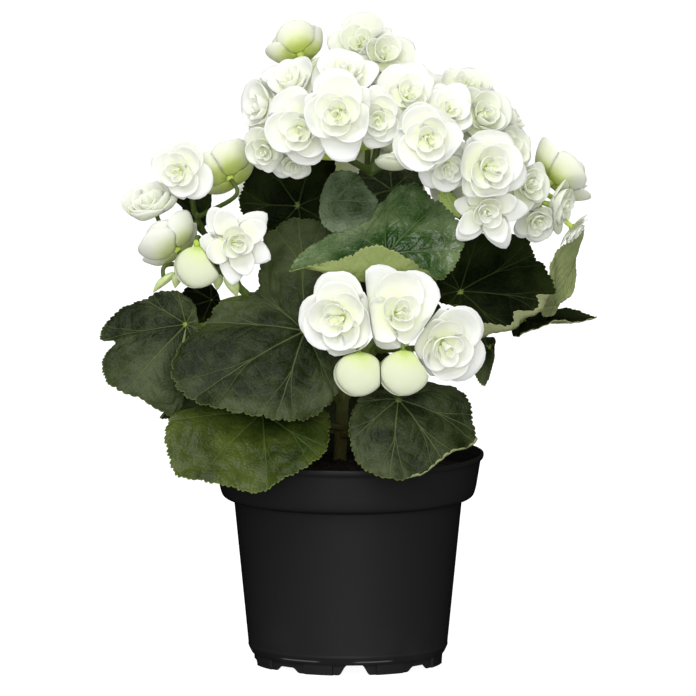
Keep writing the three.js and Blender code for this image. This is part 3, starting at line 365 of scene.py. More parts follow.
def settle(target, modifier):
    """Applies a modifier to its piece's mesh."""
    with bpy.context.temp_override(object=target, active_object=target):
        bpy.ops.object.modifier_apply(modifier=modifier.name)


for drill in drills:
    cut = pot.modifiers.new("drain", "BOOLEAN")
    cut.operation = "DIFFERENCE"
    cut.solver = "EXACT"
    cut.object = drill
    settle(pot, cut)
    bpy.data.objects.remove(drill)
crease = pot.modifiers.new("crease", "EDGE_SPLIT")
crease.split_angle = math.radians(50)
settle(pot, crease)
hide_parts("pot")

# Peat
# Dark fibrous potting peat, filled to about 5 mm below the lip and settled into crumbs. The main stem
# comes up through it.
SOIL_HEIGHT = 88
SOIL_RADIUS = 55.4
SOIL_ROUNDS = 46
SOIL_COLUMNS = 120
# The air between the peat and the pot's wall.
SOIL_AIR = 0.3
# By how much the top falls, over how many millimetres, and how far out and how high it is mounded.
SOIL_FALL = 3
FALL_REACH = 55
MOUND_REACH = 50
MOUND_HEIGHT = 0.9
CRUMBS = 260
CRUMB_REACH = 52
CRUMB_SIZES = 0.5, 1.5
CRUMB_SEED = 5


def peat_height(x, y):
    """The lumpy top of the peat."""
    radius = math.hypot(x, y)
    level = SOIL_HEIGHT - SOIL_FALL * (radius / FALL_REACH) ** 2
    if radius < MOUND_REACH:
        level += MOUND_HEIGHT * math.sin(0.55 * x + 1) * math.cos(0.47 * y)
    spot = Vector((x, y, 3))
    return level + 1.0 * noise.noise(spot / 4) + 0.6 * noise.noise(spot / 1.4)


def peat_mesh():
    radii = np.linspace(0, SOIL_RADIUS, SOIL_ROUNDS)[1:]
    turns = np.arange(SOIL_COLUMNS) * 2 * math.pi / SOIL_COLUMNS
    points = [(0, 0, peat_height(0, 0))]
    for radius in radii:
        for turn in turns:
            x, y = radius * math.cos(turn), radius * math.sin(turn)
            points.append((x, y, peat_height(x, y)))
    inner = POT_WALL + SOIL_AIR
    skirt = [
        (COLLAR_RADIUS - inner - 0.4, COLLAR_HEIGHT + 0.4),
        (NECK_RADIUS - inner, NECK_HEIGHT + 1.3),
        (SKIRT_RADIUS - inner - 0.2, SKIRT_HEIGHT + 0.2),
        (SKIRT_RADIUS - inner - 1.6, FOOT_HEIGHT + POT_WALL + SOIL_AIR),
    ]
    for radius, height in skirt:
        points += [(radius * math.cos(t), radius * math.sin(t), height) for t in turns]
    rows = len(radii) + len(skirt)
    grid = 1 + np.arange(rows * SOIL_COLUMNS).reshape(rows, SOIL_COLUMNS)
    after = np.roll(grid, -1, 1)
    faces = [[0, a, b] for a, b in zip(grid[0], after[0])]
    faces += np.stack([grid[:-1], grid[1:], after[1:], after[:-1]], -1).reshape(-1, 4).tolist()
    faces.append(grid[-1][::-1].tolist())
    return points, faces


def crumb(middle, size, rng):
    """An irregular lump, as a squashed octahedron with its corners moved."""
    corners = [(1, 0, 0), (-1, 0, 0), (0, 1, 0), (0, -1, 0), (0, 0, 0.8), (0, 0, -0.8)]
    places = np.array(corners) * size * rng.uniform(0.6, 1.3, (6, 1)) + middle
    faces = []
    for a, b in ((0, 2), (2, 1), (1, 3), (3, 0)):
        faces += [[a, b, 4], [b, a, 5]]
    return places, faces


def scattered_crumbs():
    rng = np.random.default_rng(CRUMB_SEED)
    crumbs = []
    for _ in range(CRUMBS):
        radius, turn = CRUMB_REACH * math.sqrt(rng.random()), rng.uniform(0, 2 * math.pi)
        x, y = radius * math.cos(turn), radius * math.sin(turn)
        size = rng.uniform(*CRUMB_SIZES)
        crumbs.append(crumb((x, y, peat_height(x, y) + 0.2 * size), size, rng))
    return crumbs


def joined(parts):
    """Several meshes as one: lists of points and faces."""
    points, faces = [], []
    for more, sides in parts:
        faces += [[k + len(points) for k in side] for side in sides]
        points += np.asarray(more).tolist()
    return points, faces


def damp_peat(shade):
    place = shade.place()
    crumbs = shade.cells(place, 1.6, "F1")
    fibres = shade.noise(place, 0.9, 4, (1, 6, 1))
    damp = shade.noise(place, 9, 3)
    dark, dry = (0.008, 0.0055, 0.004, 1), (0.035, 0.021, 0.012, 1)
    return {
        "Base Color": (fibres * 0.7 + damp * 0.5 - 0.3).mix(dark, dry),
        "Roughness": 0.75 + 0.2 * damp,
        "height": fibres - 2 * crumbs,
        "bump": (0.8, 0.5),
    }


peat_finish = finish("damp_peat", damp_peat, Specular_IOR_Level=0.3)
peat = make_piece("peat_bed", *joined([peat_mesh(), *scattered_crumbs()]), [peat_finish], "soil")
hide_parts("soil")

# Stem, leaders and flower stalks
# One fleshy main stem, brown-red at its foot and green above, forks into leaders. They end in clusters
# of thin flower stalks. Everything here grew as one piece.

# The front view in which the plant's places are given: a step of it in millimetres at the pot's axis,
# the step at its middle, how far off and how tilted it is, and the height that it is aimed at.
VIEW_STEP = 0.441
VIEW_MIDDLE = 348
VIEW_DISTANCE = 5000
VIEW_TILT = math.radians(7.5)
AIM_HEIGHT = 139.7
STALK_RADIUS = 1.1
STALK_SPACING = 3.2
STALK_BEND = 9
BUD_NECK = 3
# The most of a leader's or a stalk's length that its joints or its bend take up.
MOST_SHARE = 0.45
# By how much a limb swells where it leaves another.
SWELL = 0.12
# The points of a fine line, the length of a limb between two rounds, and how far its ends bulge.
FINE_POINTS = 200
ROUND_STEP = 1.6
END_BULGE = 0.4
# The grain at which the limbs are fused into one skin.
FUSE_STEP = 0.75
# Heights in metres between which the red of the foot fades, and between which the green turns to a
# darker green above, painted as the shade inside the crown.
RED_FADES = 0.15, 0.095
CROWN_SHADE_BEGINS = 0.155, 0.185
# Shares of a flower's radius from its foot to its middle, for an open flower and for a bud.
MIDDLE_SHARE = 0.4
BUD_FOOT_SHARE = 1.1
# The leaders: start radius, end radius and the places along each. A place is steps across and down
# the front view, and millimetres behind the pot's axis.
LEADERS = {
    "main": (3.2, 2.7, [(340, 505, 10), (340, 460, 9), (341, 430, 5), (343, 398, 2)]),
    "middle": (
        2.7, 1.9, [(343, 398, 2), (350, 340, 4), (355, 280, 8), (362, 225, 10), (372, 172, 6)],
    ),
    "right": (
        2.3, 1.8, [(343, 400, 2), (370, 355, 12), (408, 310, 14), (452, 262, 6), (494, 208, -4)],
    ),
    "left": (
        2.3, 1.7, [(343, 405, 2), (322, 370, 10), (285, 330, 10), (242, 290, 4), (208, 256, -4)],
    ),
    "front": (1.8, 1.5, [(348, 368, 3), (353, 359, -22), (366, 352, -48)]),
    "front_right": (1.6, 1.4, [(353, 359, -22), (390, 366, -40), (424, 362, -48)]),
    "crown_left": (1.7, 1.4, [(372, 172, 6), (350, 160, 0), (322, 142, -4)]),
    "crown_top": (1.7, 1.4, [(372, 172, 6), (378, 140, 6), (374, 98, 4)]),
    "crown_right": (1.7, 1.4, [(372, 172, 6), (405, 155, 2), (442, 136, -8)]),
    "far_right": (1.6, 1.3, [(494, 208, -4), (520, 212, 0), (548, 214, 2)]),
    "far_left": (1.5, 1.3, [(225, 272, 0), (210, 244, 12), (194, 212, 6)]),
    "back_crown": (1.7, 1.4, [(362, 225, 10), (366, 190, 26), (368, 150, 34)]),
    "back_low": (1.6, 1.4, [(357, 250, 9), (362, 225, 30), (366, 205, 42)]),
    "back_left": (1.7, 1.4, [(285, 330, 10), (272, 270, 26), (262, 215, 30)]),
    "back_right": (1.7, 1.4, [(408, 310, 14), (430, 240, 28), (452, 185, 32)]),
}


class Bloom:
    """An open flower or a bud: its place, its radius, the way that it faces and the leader that its
    stalk leaves. rose is the share of the radius that its inner rose takes, cupped flowers are half
    open, pointed petals are narrow, and lead is the angle up from the right of its first petal."""

    def __init__(
        self, place, radius, turn, rise, roll=0, joint=None,
        rose=None, cupped=False, pointed=False, green=False, lead=None,
    ):
        self.place = place
        self.radius = radius
        self.turn = turn
        self.rise = rise
        self.roll = roll
        self.joint = joint
        self.rose = rose
        self.cupped = cupped
        self.pointed = pointed
        self.green = green
        self.lead = lead


FLOWERS = {
    "flower_crown_front": Bloom((338, 110, -50), 17.5, -4, 12, 10, "crown_left", rose=0.7),
    "flower_crown_left": Bloom((296, 128, -38), 16.5, -16, 4, 40, "crown_left", rose=0.66),
    "flower_left_shoulder": Bloom((258, 104, -14), 16, -58, 12, 75, "crown_left"),
    "flower_left_top": Bloom((285, 78, -14), 15, -34, 44, 20, "crown_left"),
    "flower_top_front": Bloom((346, 70, -24), 16, -4, 52, 35, "crown_top"),
    "flower_middle_small": Bloom((379, 118, -42), 12, 2, 2, 55, "crown_top"),
    "flower_middle": Bloom((407, 94, -30), 15, 10, 26, 15, "crown_top"),
    "flower_crown_right": Bloom((427, 136, -50), 16, 4, 12, 30, "crown_right"),
    "flower_right_small": Bloom((449, 168, -42), 11, 10, -16, 70, "crown_right"),
    "flower_right_inner": Bloom((452, 106, -34), 13, 12, 30, 5, "crown_right"),
    "flower_right_front": Bloom((489, 168, -46), 17, 18, 8, 50, "right"),
    "flower_right_low": Bloom((490, 215, -42), 15.5, 12, -10, 25, "right", rose=0.55, pointed=True),
    "flower_left_front": Bloom((178, 170, -16), 12.5, -14, 4, 20, "far_left"),
    "flower_left_high": Bloom(
        (224, 167, 2), 17, -150, 40, 80, "far_left", cupped=True, green=True
    ),
    "flower_left_edge": Bloom((151, 201, -8), 14, -42, 58, 30, "far_left", cupped=True),
    "flower_left_low": Bloom((169, 240, -12), 16, -132, 38, 60, "left", cupped=True),
    "flower_left_star": Bloom((234, 243, -32), 15.5, 6, 4, 0, "left", rose=0.56, pointed=True),
    "flower_front_left": Bloom((340, 319, -68), 17.5, -14, 0, 25, "front", rose=0.86),
    "flower_front_middle": Bloom((398, 312, -66), 19.5, 10, 14, 55, "front", rose=0.5, lead=42),
    "flower_front_right": Bloom((446, 346, -66), 18, 18, -10, 10, "front_right", rose=0.78),
}
BUDS = {
    "bud_left": Bloom((197, 267, -30), 9.6, 0, -70, joint="left"),
    "bud_front_left": Bloom((358, 374, -68), 10, 0, -72, joint="front"),
    "bud_front_right": Bloom((403, 373, -68), 10.2, 0, -72, joint="front_right"),
    "bud_middle": Bloom((393, 162, -40), 7.6, -20, 20, joint="crown_right"),
}
# The green buds that are too young to show a petal: place, radius and leader.
GREEN_BUDS = [
    ((164, 281, -16), 3.2, "left"),
    ((177, 279, -22), 2.6, "left"),
    ((232, 284, -26), 3.6, "left"),
    ((218, 281, -20), 2.6, "left"),
]
# Sprays: the place on a leader where each starts, the place where its stalks part, and its flowers.
SPRAYS = {
    "spray_top": (
        (374, 98, 4), (374, 84, 6),
        [Bloom((358, 42, 4), 16, -16, 38, 5), Bloom((386, 55, -6), 15.5, 24, 30, 30)],
    ),
    "spray_top_left": (
        (322, 142, -4), (316, 108, 4),
        [Bloom((297, 45, 8), 14, -160, 42, 50, cupped=True), Bloom((319, 74, -2), 13, -12, 48, 0)],
    ),
    "spray_small_left": (
        (346, 158, -1), (308, 156, -12),
        [Bloom((265, 150, -28), 10.5, -24, -12, 0), Bloom((291, 166, -26), 9, -4, -34, 20)],
    ),
    "spray_right_top": (
        (442, 136, -8), (452, 128, -8),
        [
            Bloom((467, 84, -6), 14, 20, 52, 30),
            Bloom((483, 112, -24), 16, 30, 26, 60),
            Bloom((425, 82, 0), 12, 10, 62, 60),
        ],
    ),
    "spray_right_edge": (
        (494, 208, -4), (502, 178, -4),
        [Bloom((514, 116, -2), 13, 86, 26, 45), Bloom((515, 150, -18), 14, 50, 18, 20)],
    ),
    "spray_right_side": (
        (526, 212, 0), (540, 206, -5),
        [Bloom((531, 186, -18), 12.5, 40, 6, 65), Bloom((537, 224, -14), 10, 20, -24, 25)],
    ),
    "spray_far_right": (
        (548, 214, 2), (562, 204, 10),
        [
            Bloom((562, 171, 8), 17.5, 118, 38, 15, cupped=True),
            Bloom((564, 210, -6), 13, 70, -16, 35),
            Bloom((578, 232, -2), 8, 80, -40, 10),
        ],
    ),
    "spray_back_crown": (
        (368, 150, 34), (366, 130, 38),
        [
            Bloom((338, 92, 44), 16, -160, 30, 0),
            Bloom((392, 90, 46), 16, 165, 32, 40),
            Bloom((364, 142, 62), 16, 178, 5, 20),
        ],
    ),
    "spray_back_low": (
        (366, 205, 42), (366, 192, 46),
        [Bloom((330, 178, 56), 14, -160, -12, 10), Bloom((400, 184, 58), 14, 166, -12, 50)],
    ),
    "spray_back_left": (
        (262, 215, 30), (268, 190, 34),
        [
            Bloom((292, 142, 40), 15, -150, 24, 30),
            Bloom((262, 190, 50), 14, -140, 4, 70),
            Bloom((290, 206, 60), 14, -168, -8, 15),
        ],
    ),
    "spray_back_right": (
        (452, 185, 32), (456, 160, 34),
        [
            Bloom((446, 118, 38), 15, 150, 30, 25),
            Bloom((490, 148, 32), 15, 118, 14, 0),
            Bloom((452, 172, 56), 14, 160, -4, 45),
        ],
    ),
}
ALL_BLOOMS = [
    *FLOWERS.values(),
    *BUDS.values(),
    *(bloom for _, _, blooms in SPRAYS.values() for bloom in blooms),
]
# How near the edge of its own room a petal lies free, how far a flower reaches over the one behind it,
# the air that each leaves, how far off a neighbour still counts, and how sharp a room's corners are.
FREE_SHARE = 0.88
TUCKED = 1.0
PETAL_AIR = 0.12
NEIGHBOUR_REACH = 1.3
ROOM_SHARPNESS = 8


def at(place):
    """The point at a place of the front view, in millimetres."""
    across, down, depth = place
    right = (across - VIEW_MIDDLE) * VIEW_STEP / VIEW_DISTANCE
    up = (VIEW_MIDDLE - down) * VIEW_STEP / VIEW_DISTANCE
    sin, cos = math.sin(VIEW_TILT), math.cos(VIEW_TILT)
    along = (depth + VIEW_DISTANCE * cos) / (cos + up * sin)
    height = AIM_HEIGHT + VIEW_DISTANCE * sin + along * (up * cos - sin)
    return np.array([along * right, depth, height])


def facing(turn, rise):
    """The direction that is turned to the right of the viewer and rises by these degrees."""
    t, r = math.radians(turn), math.radians(rise)
    return np.array([math.sin(t) * math.cos(r), -math.cos(t) * math.cos(r), math.sin(r)])


def unit(vectors):
    return vectors / np.maximum(np.linalg.norm(vectors, axis=-1, keepdims=True), 1e-9)


def curve(places, shares, closed=False):
    """Points at shares of a smooth curve through the places, as a centripetal spline."""
    places, shares = np.asarray(places, float), np.asarray(shares, float)
    count = len(places)
    if closed:
        spans = count
        spot = (shares % 1) * spans
        known = places[np.arange(-1, count + 2) % count]
    else:
        spans = count - 1
        spot = np.clip(shares, 0, 1) * spans
        known = np.array([2 * places[0] - places[1], *places, 2 * places[-1] - places[-2]])
    first = np.minimum(np.floor(spot).astype(int), spans - 1)
    t = (spot - first)[:, None]
    p0, p1, p2, p3 = (known[first + k] for k in range(4))
    chords = (p1 - p0, p2 - p1, p3 - p2)
    roots = [np.linalg.norm(chord, axis=1)[:, None] ** 0.5 for chord in chords]
    d0, d1, d2 = (np.maximum(root, 1e-4) for root in roots)
    t1 = ((p1 - p0) / d0 - (p2 - p0) / (d0 + d1) + (p2 - p1) / d1) * d1
    t2 = ((p2 - p1) / d1 - (p3 - p1) / (d1 + d2) + (p3 - p2) / d2) * d1
    second = -3 * p1 + 3 * p2 - 2 * t1 - t2
    third = 2 * p1 - 2 * p2 + t1 + t2
    return p1 + t1 * t + second * t**2 + third * t**3


def even_curve(places, count):
    """Points evenly spaced along the smooth curve."""
    fine = curve(places, np.linspace(0, 1, FINE_POINTS))
    along = np.append(0, np.cumsum(np.linalg.norm(np.diff(fine, axis=0), axis=1)))
    wanted = np.linspace(0, along[-1], count)
    return np.stack([np.interp(wanted, along, fine[:, k]) for k in range(3)], 1)


def tube(places, radius_at, sides):
    """A closed round limb whose radius follows radius_at, a function of the share of its length."""
    places = np.asarray(places, float)
    length = np.linalg.norm(np.diff(places, axis=0), axis=1).sum()
    line = even_curve(places, max(4, int(length / ROUND_STEP)))
    tangents = unit(np.gradient(line, axis=0))
    side = unit(np.cross(tangents[0], [0.3, -1, 0.2]))
    angles = np.arange(sides) * 2 * math.pi / sides
    points = []
    for i, (centre, tangent) in enumerate(zip(line, tangents)):
        side = unit(side - tangent * side.dot(tangent))
        other = np.cross(tangent, side)
        ring = np.outer(np.cos(angles), side) + np.outer(np.sin(angles), other)
        points.append(centre + radius_at(i / (len(line) - 1)) * ring)
    ends = [line[0] - tangents[0] * END_BULGE, line[-1] + tangents[-1] * END_BULGE]
    return np.concatenate([*points, ends]), round_faces(len(line), sides)


def room_of(bloom):
    """The bloom's middle and its own room: the ways to its neighbours and how far off each wall is."""
    middle = at(bloom.place)
    ways, distances = [], []
    for other in ALL_BLOOMS:
        apart = np.linalg.norm(at(other.place) - middle)
        both = bloom.radius + other.radius
        if other is bloom or apart > NEIGHBOUR_REACH * both:
            continue
        ways.append((at(other.place) - middle) / apart)
        over = TUCKED * np.sign(at(other.place)[1] - middle[1])
        distances.append(apart * bloom.radius / both + over - PETAL_AIR)
    return middle, np.array(ways).reshape(-1, 3), np.array(distances)


def drawn_in(points, room, free_share=FREE_SHARE):
    """Points drawn towards the bloom's middle, so that none passes a wall of its room."""
    middle, ways, distances = room
    if not len(ways):
        return points
    spokes = points - middle
    reach = np.maximum(np.linalg.norm(spokes, axis=1), 1e-6)
    towards = np.maximum(spokes @ ways.T / reach[:, None], 0)
    crowding = ((towards / distances) ** ROOM_SHARPNESS).sum(1)
    limit = np.maximum(crowding, 1e-30) ** (-1 / ROOM_SHARPNESS)
    free = free_share * limit
    soft = free + (limit - free) * (1 - np.exp(-np.maximum(reach - free, 0) / (limit - free)))
    return middle + spokes * (np.where(reach > free, soft, reach) / reach)[:, None]


def stalk_places(bloom, joint, share=MIDDLE_SHARE, gap=0.0, neck=STALK_BEND):
    """A flower stalk comes up square to the flower's foot, after a bend one neck below it."""
    out = facing(bloom.turn, bloom.rise)
    seat = at(bloom.place) - share * bloom.radius * out
    end = drawn_in(seat[None], room_of(bloom))[0] - gap * out
    bend = end - out * min(neck, MOST_SHARE * np.linalg.norm(end - joint))
    return [joint, bend, end]


def joints_on(leader, count):
    """Stalks leave a leader one behind the other, down from its end."""
    line = even_curve([at(place) for place in LEADERS[leader][2]], FINE_POINTS)
    length = np.linalg.norm(np.diff(line, axis=0), axis=1).sum()
    step = min(STALK_SPACING, MOST_SHARE * length / count) if count else 0
    return [line[round((FINE_POINTS - 1) * (1 - i * step / length))] for i in range(count)]


def thinning(start, end):
    """A limb's radius: it thins evenly, with a slight swelling where it leaves and where it ends."""
    return lambda share: (start + (end - start) * share) * (
        1 + SWELL * math.exp(-share / 0.06) + 0.6 * SWELL * math.exp(-(1 - share) / 0.05)
    )


THIN_STALK = thinning(STALK_RADIUS * 1.15, STALK_RADIUS)


def stem_network():
    """The leaders, and the stalks of the single flowers and of the buds."""
    parts = []
    for start, end, places in LEADERS.values():
        parts.append(tube([at(place) for place in places], thinning(start, end), 14))
    for leader in LEADERS:
        blooms = [bloom for bloom in FLOWERS.values() if bloom.joint == leader]
        buds = [bud for bud in BUDS.values() if bud.joint == leader]
        young = [bud for bud in GREEN_BUDS if bud[2] == leader]
        joints = joints_on(leader, len(blooms) + len(buds) + len(young))
        for bloom in blooms:
            parts.append(tube(stalk_places(bloom, joints.pop(0)), THIN_STALK, 10))
        for bud in buds:
            places = stalk_places(bud, joints.pop(0), BUD_FOOT_SHARE, neck=BUD_NECK)
            parts.append(tube(places, THIN_STALK, 10))
        for place, radius, _ in young:
            middle = at(place)
            above = middle + [0, 0, 2 * radius]
            parts.append(tube([joints.pop(0), above, middle], THIN_STALK, 10))
    return parts


def fleshy_stem(shade):
    place = shade.place()
    height = place.part(2)
    streaks = shade.noise(place, 1.2, 3, (1, 1, 0.12))
    blotches = shade.noise(place, 6, 3)
    red = height.step(*RED_FADES) * (0.55 + 0.8 * blotches)
    green = streaks.mix((0.11, 0.17, 0.02, 1), (0.24, 0.33, 0.06, 1))
    # A darker green painted on the limbs high up, as the shade inside the crown.
    shaded_green = streaks.mix((0.035, 0.06, 0.008, 1), (0.1, 0.15, 0.02, 1))
    upper = height.step(*CROWN_SHADE_BEGINS)
    return {
        "Base Color": red.at_most(0.9).mix(upper.mix(green, shaded_green), (0.065, 0.046, 0.012, 1)),
        "Roughness": 0.38 + 0.2 * streaks,
        "height": streaks + blotches,
        "bump": (0.25, 0.3),
    }


stem_finish = finish(
    "fleshy_stem",
    fleshy_stem,
    Subsurface_Weight=0.12,
    Subsurface_Radius=(0.3, 0.6, 0.15),
    Subsurface_Scale=0.003,
)
stem = make_piece("stem_network", *joined(stem_network()), [stem_finish], "stem")
fuse = stem.modifiers.new("fuse", "REMESH")
fuse.mode = "VOXEL"
fuse.voxel_size = FUSE_STEP * METRES
settle(stem, fuse)
ease = stem.modifiers.new("ease", "SMOOTH")
ease.factor = 0.5
ease.iterations = 2
settle(stem, ease)
stem.data.shade_smooth()
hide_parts("stem")

# Green buds
# Buds too young to show a petal: plump pointed drops of two green bracts, grown on the ends of thin
# stalks from the left leader.
GREEN_BUD_LEANS = 0.75, 0.2, -0.35, 0.1


def young_bud_mesh(place, radius, lean):
    """A closed green bud on its stalk's end: a pointed drop with a seam between its two bracts."""
    rows, sides = 16, 24
    share = np.linspace(0, 1, rows)[:, None]
    turn = np.arange(sides)[None, :] * 2 * math.pi / sides
    seam = 1 - 0.16 * np.exp(-((np.cos(turn - 0.6) / 0.16) ** 2)) * np.sin(math.pi * share) ** 0.5
    drop = np.maximum(np.sin(math.pi * share**0.8), 0.02) ** 0.8 * (1.05 - 0.3 * share)
    plump = drop * seam * radius
    height = radius * (1.3 - 2.9 * share) + 0 * turn
    x, y = 0.95 * plump * np.cos(turn) + math.tan(lean) * height, 0.8 * plump * np.sin(turn)
    points = at(place) + np.stack([x, y, height], -1).reshape(-1, 3)
    grid = np.arange(rows * sides).reshape(rows, sides)
    after = np.roll(grid, -1, 1)
    faces = np.stack([grid[:-1], grid[1:], after[1:], after[:-1]], -1).reshape(-1, 4).tolist()
    return points, faces + [grid[0].tolist(), grid[-1][::-1].tolist()]


def young_bud_paint(shade):
    place = shade.place()
    cloudy = shade.noise(place, 2.5, 3)
    return {
        "Base Color": cloudy.mix((0.42, 0.55, 0.17, 1), (0.72, 0.8, 0.46, 1)),
        "Roughness": 0.35 + 0.2 * cloudy,
        "height": cloudy,
        "bump": (0.2, 0.3),
    }


young_bud_finish = finish("young_bud", young_bud_paint, Subsurface_Weight=0.1, Subsurface_Scale=0.003)
young_buds = joined(
    [young_bud_mesh(bud[0], bud[1], lean) for bud, lean in zip(GREEN_BUDS, GREEN_BUD_LEANS)]
)
green_buds = make_piece("young_green_buds", *young_buds, [young_bud_finish], "stem")
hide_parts("stem")

# Leaves
# Fleshy, glossy begonia leaves: a lopsided heart-shaped blade with a finely toothed, pale edge and
# palmate veins, dark green above and pale below, each on its own round leaf stalk that grows from the
# stem. One is folded over at its front, and two have a rolled edge.
BLADE_THICKNESS = 0.7
LEAF_STALK_RADIUS = 1.5
STALK_NECK = 4
TOOTH_PITCH = 2.4
TOOTH_DEPTH = 0.9
LOBE_PITCH = 7.5
LOBE_DEPTH = 1.4
ROLL_RADIUS = 0.8
# The length round the margin of a usual leaf: the relief of each leaf is in proportion to its own.
USUAL_ROUND = 330
# Where on its way out a vein forks, how far off it the forks end and how wide its groove is, both as
# shares of the pitch between two veins.
FORK_START = 0.35
FORK_SPREAD = 0.24
VEIN_GROOVE = 0.03
# The width of the fine net between the veins, in millimetres.
NET_WIDTH = 2.1
LEAF_SEED = 11


class Leaf:
    """A leaf: the place of its hub, the places round its margin and along its leaf stalk, knees that
    its ribs bend through, by margin number, and rolled stretches: from, to, and width."""

    def __init__(self, hub, margin, stalk, arch=0.06, knees=None, rolls=(), tone="mature", veins=9):
        self.hub = hub
        self.margin = margin
        self.stalk = stalk
        self.arch = arch
        self.knees = knees or {}
        self.rolls = rolls
        self.tone = tone
        self.veins = veins


